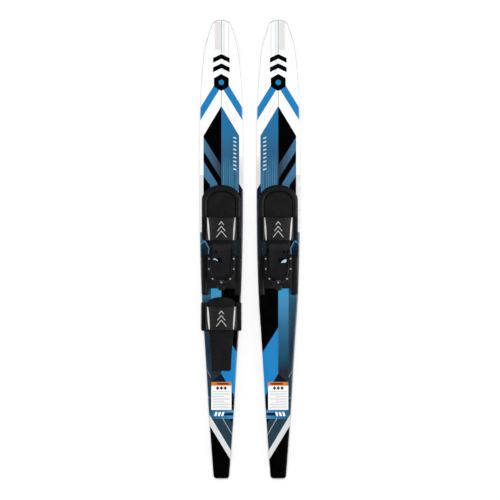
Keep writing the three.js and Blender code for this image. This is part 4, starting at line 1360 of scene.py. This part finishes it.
def add_ski(side):
    node = f"{side}_ski_"
    make(side, "ski_shell", ski_shell, "ski", "ski", node + "body")
    make(side, "ski_print", top_sheet, "print", "ski", node + "topsheet", angle=50)
    make(side, "ski_fin_blade", fin, "fin", "ski", node + "fin")
    make(side, "binding_frame", binding_frame, "moulding", "ski", node + "binding_frame")
    make(side, "toe_pad", toe_pad, "foam", "ski", node + "toe_pad")
    add_strap(side, "toe", node + "toe", Strap(72.5, 730, 0))
    make(side, "heel_carriage", heel_carriage, "carriage", "heel", node + "heel_carriage")
    make(side, "heel_pad", heel_pad, "heel_foam", "heel", node + "heel_pad")
    make(side, "heel_cup", heel_cup, "cup", "heel", node + "heel_cup")
    make(side, "heel_cup_panels", cup_panels, "cup_panel", "heel")
    make(side, "heel_cup_collar", cup_collar, "cup", "heel")
    make(side, "heel_tab", heel_tab, "overlay", "heel")
    make(side, "heel_band", heel_band, "band", "heel", node + "heel_band")
    make(side, "heel_rivets", rivets, "rivet", "heel")
    make(side, "heel_stitching", heel_stitches, "thread", "heel", angle=60)
    # near-black dashes of painted shadow in the gap round the foot of the heel cup
    make(side, "heel_band_stitching", heel_dashes, "dash", "heel", angle=60)
    # dark plates of painted shade in the sole's window and round the access hole
    make(side, "sole_window", sole_window, "window", "heel")
    make(side, "sole_window_print", partial(window_print, side=side), "window_light", "heel")
    make(side, "lock_lever", lock_lever, "lever", "lever", node + "lock_lever")


def add_rear_plate():
    make("left", "rear_toe_plate", rear_plate, "moulding", "ski", "rear_toe_plate")
    make("left", "rear_toe_pad", rear_pad, "foam", "ski", "rear_toe_pad")
    add_strap("left", "rear_toe", "rear_toe", Strap(74.5, 1062, 2.4))


def finish_hardware():
    """Screws, pins and springs keep their frame shapes and get the plated steel."""
    for node in frame["nodes"].values():
        if not node.hide_render:
            node.data.materials.clear()
            node.data.materials.append(MATERIALS["steel"])


add_ski("left")
add_ski("right")
add_rear_plate()
finish_hardware()


# ---- Stage, light and camera ----


def make_floor():
    n = Nodes("floor_paper")
    tone = n.mix(n.noise(3, 3), (0.955, 0.957, 0.96, 1), (0.975, 0.976, 0.978, 1))
    grain = n.bump(n.noise(500, 3), 0.05, 0.0002)
    n.surface(tone, 0.9, grain, Specular_IOR_Level=0.1, Emission_Color=(1, 1, 1, 1), Emission_Strength=0.05)
    half = 9
    data = bpy.data.meshes.new("floor")
    corners = [(-half, -half, 0), (half, -half, 0), (half, half, 0), (-half, half, 0)]
    data.from_pydata(corners, [], [(0, 1, 2, 3)])
    data.materials.append(n.material)
    floor = bpy.data.objects.new("floor", data)
    bpy.context.scene.collection.objects.link(floor)


def make_world():
    world = bpy.data.worlds.new("studio")
    bpy.context.scene.world = world
    world.use_nodes = True
    tree = world.node_tree
    background = tree.nodes["Background"]
    background.inputs["Color"].default_value = (1, 1, 1, 1)
    rays = tree.nodes.new("ShaderNodeLightPath")
    strength = tree.nodes.new("ShaderNodeMapRange")
    strength.inputs["To Min"].default_value = 0.33
    tree.links.new(rays.outputs["Is Camera Ray"], strength.inputs["Value"])
    tree.links.new(strength.outputs[0], background.inputs["Strength"])
    world.cycles_visibility.glossy = False


def soft_light(name, place, aim, size, power, reflected_only=False, colour=(1, 1, 1)):
    """A soft box; one that is reflected only draws highlights and lights nothing."""
    data = bpy.data.lights.new(name, "AREA")
    data.shape = "RECTANGLE"
    data.size, data.size_y = size
    data.energy = power
    data.color = colour
    made = bpy.data.objects.new(name, data)
    made.location = place
    made.rotation_euler = (Vector(aim) - Vector(place)).to_track_quat("-Z", "Y").to_euler()
    made.visible_glossy = reflected_only
    made.visible_diffuse = not reflected_only
    bpy.context.scene.collection.objects.link(made)


def make_camera():
    """Square over the skis, as they are laid down, looking along their own upright."""
    forward = (SKI["left"].to_3x3() @ Vector((0, 1, 0))).normalized()
    up = (SKI["left"].to_3x3() @ Vector((0, 0, 1))).normalized()
    centre = (SKI["left"] @ Vector((0, -1.3, 0)) + SKI["right"] @ Vector((0, -1.3, 0))) / 2
    across = forward.cross(up)
    data = bpy.data.cameras.new("camera")
    data.type = "ORTHO"
    data.ortho_scale = 1.860
    made = bpy.data.objects.new("camera", data)
    turn = Matrix((across, forward, up)).transposed()
    made.matrix_world = Matrix.Translation(centre + across * 0.00074 + up * 3) @ turn.to_4x4()
    bpy.context.scene.collection.objects.link(made)
    bpy.context.scene.camera = made


make_floor()
make_world()
soft_light("overhead", (0, 1.069, 24), (0, 0, 0), (3.0, 3.0), 4302)
soft_light("side_right", (2.0, 0.1, 1.5), (0, 0, 0.05), (1.3, 2.6), 52, True)
soft_light("side_left", (-2.2, 0.1, 1.6), (0, 0, 0.05), (0.5, 2.4), 13, True)
soft_light("tail_side", (0, -2.4, 1.6), (0, 0, 0.05), (1.6, 0.7), 3, True, (1.0, 0.9, 0.86))
make_camera()
bpy.context.scene.view_settings.view_transform = "Standard"
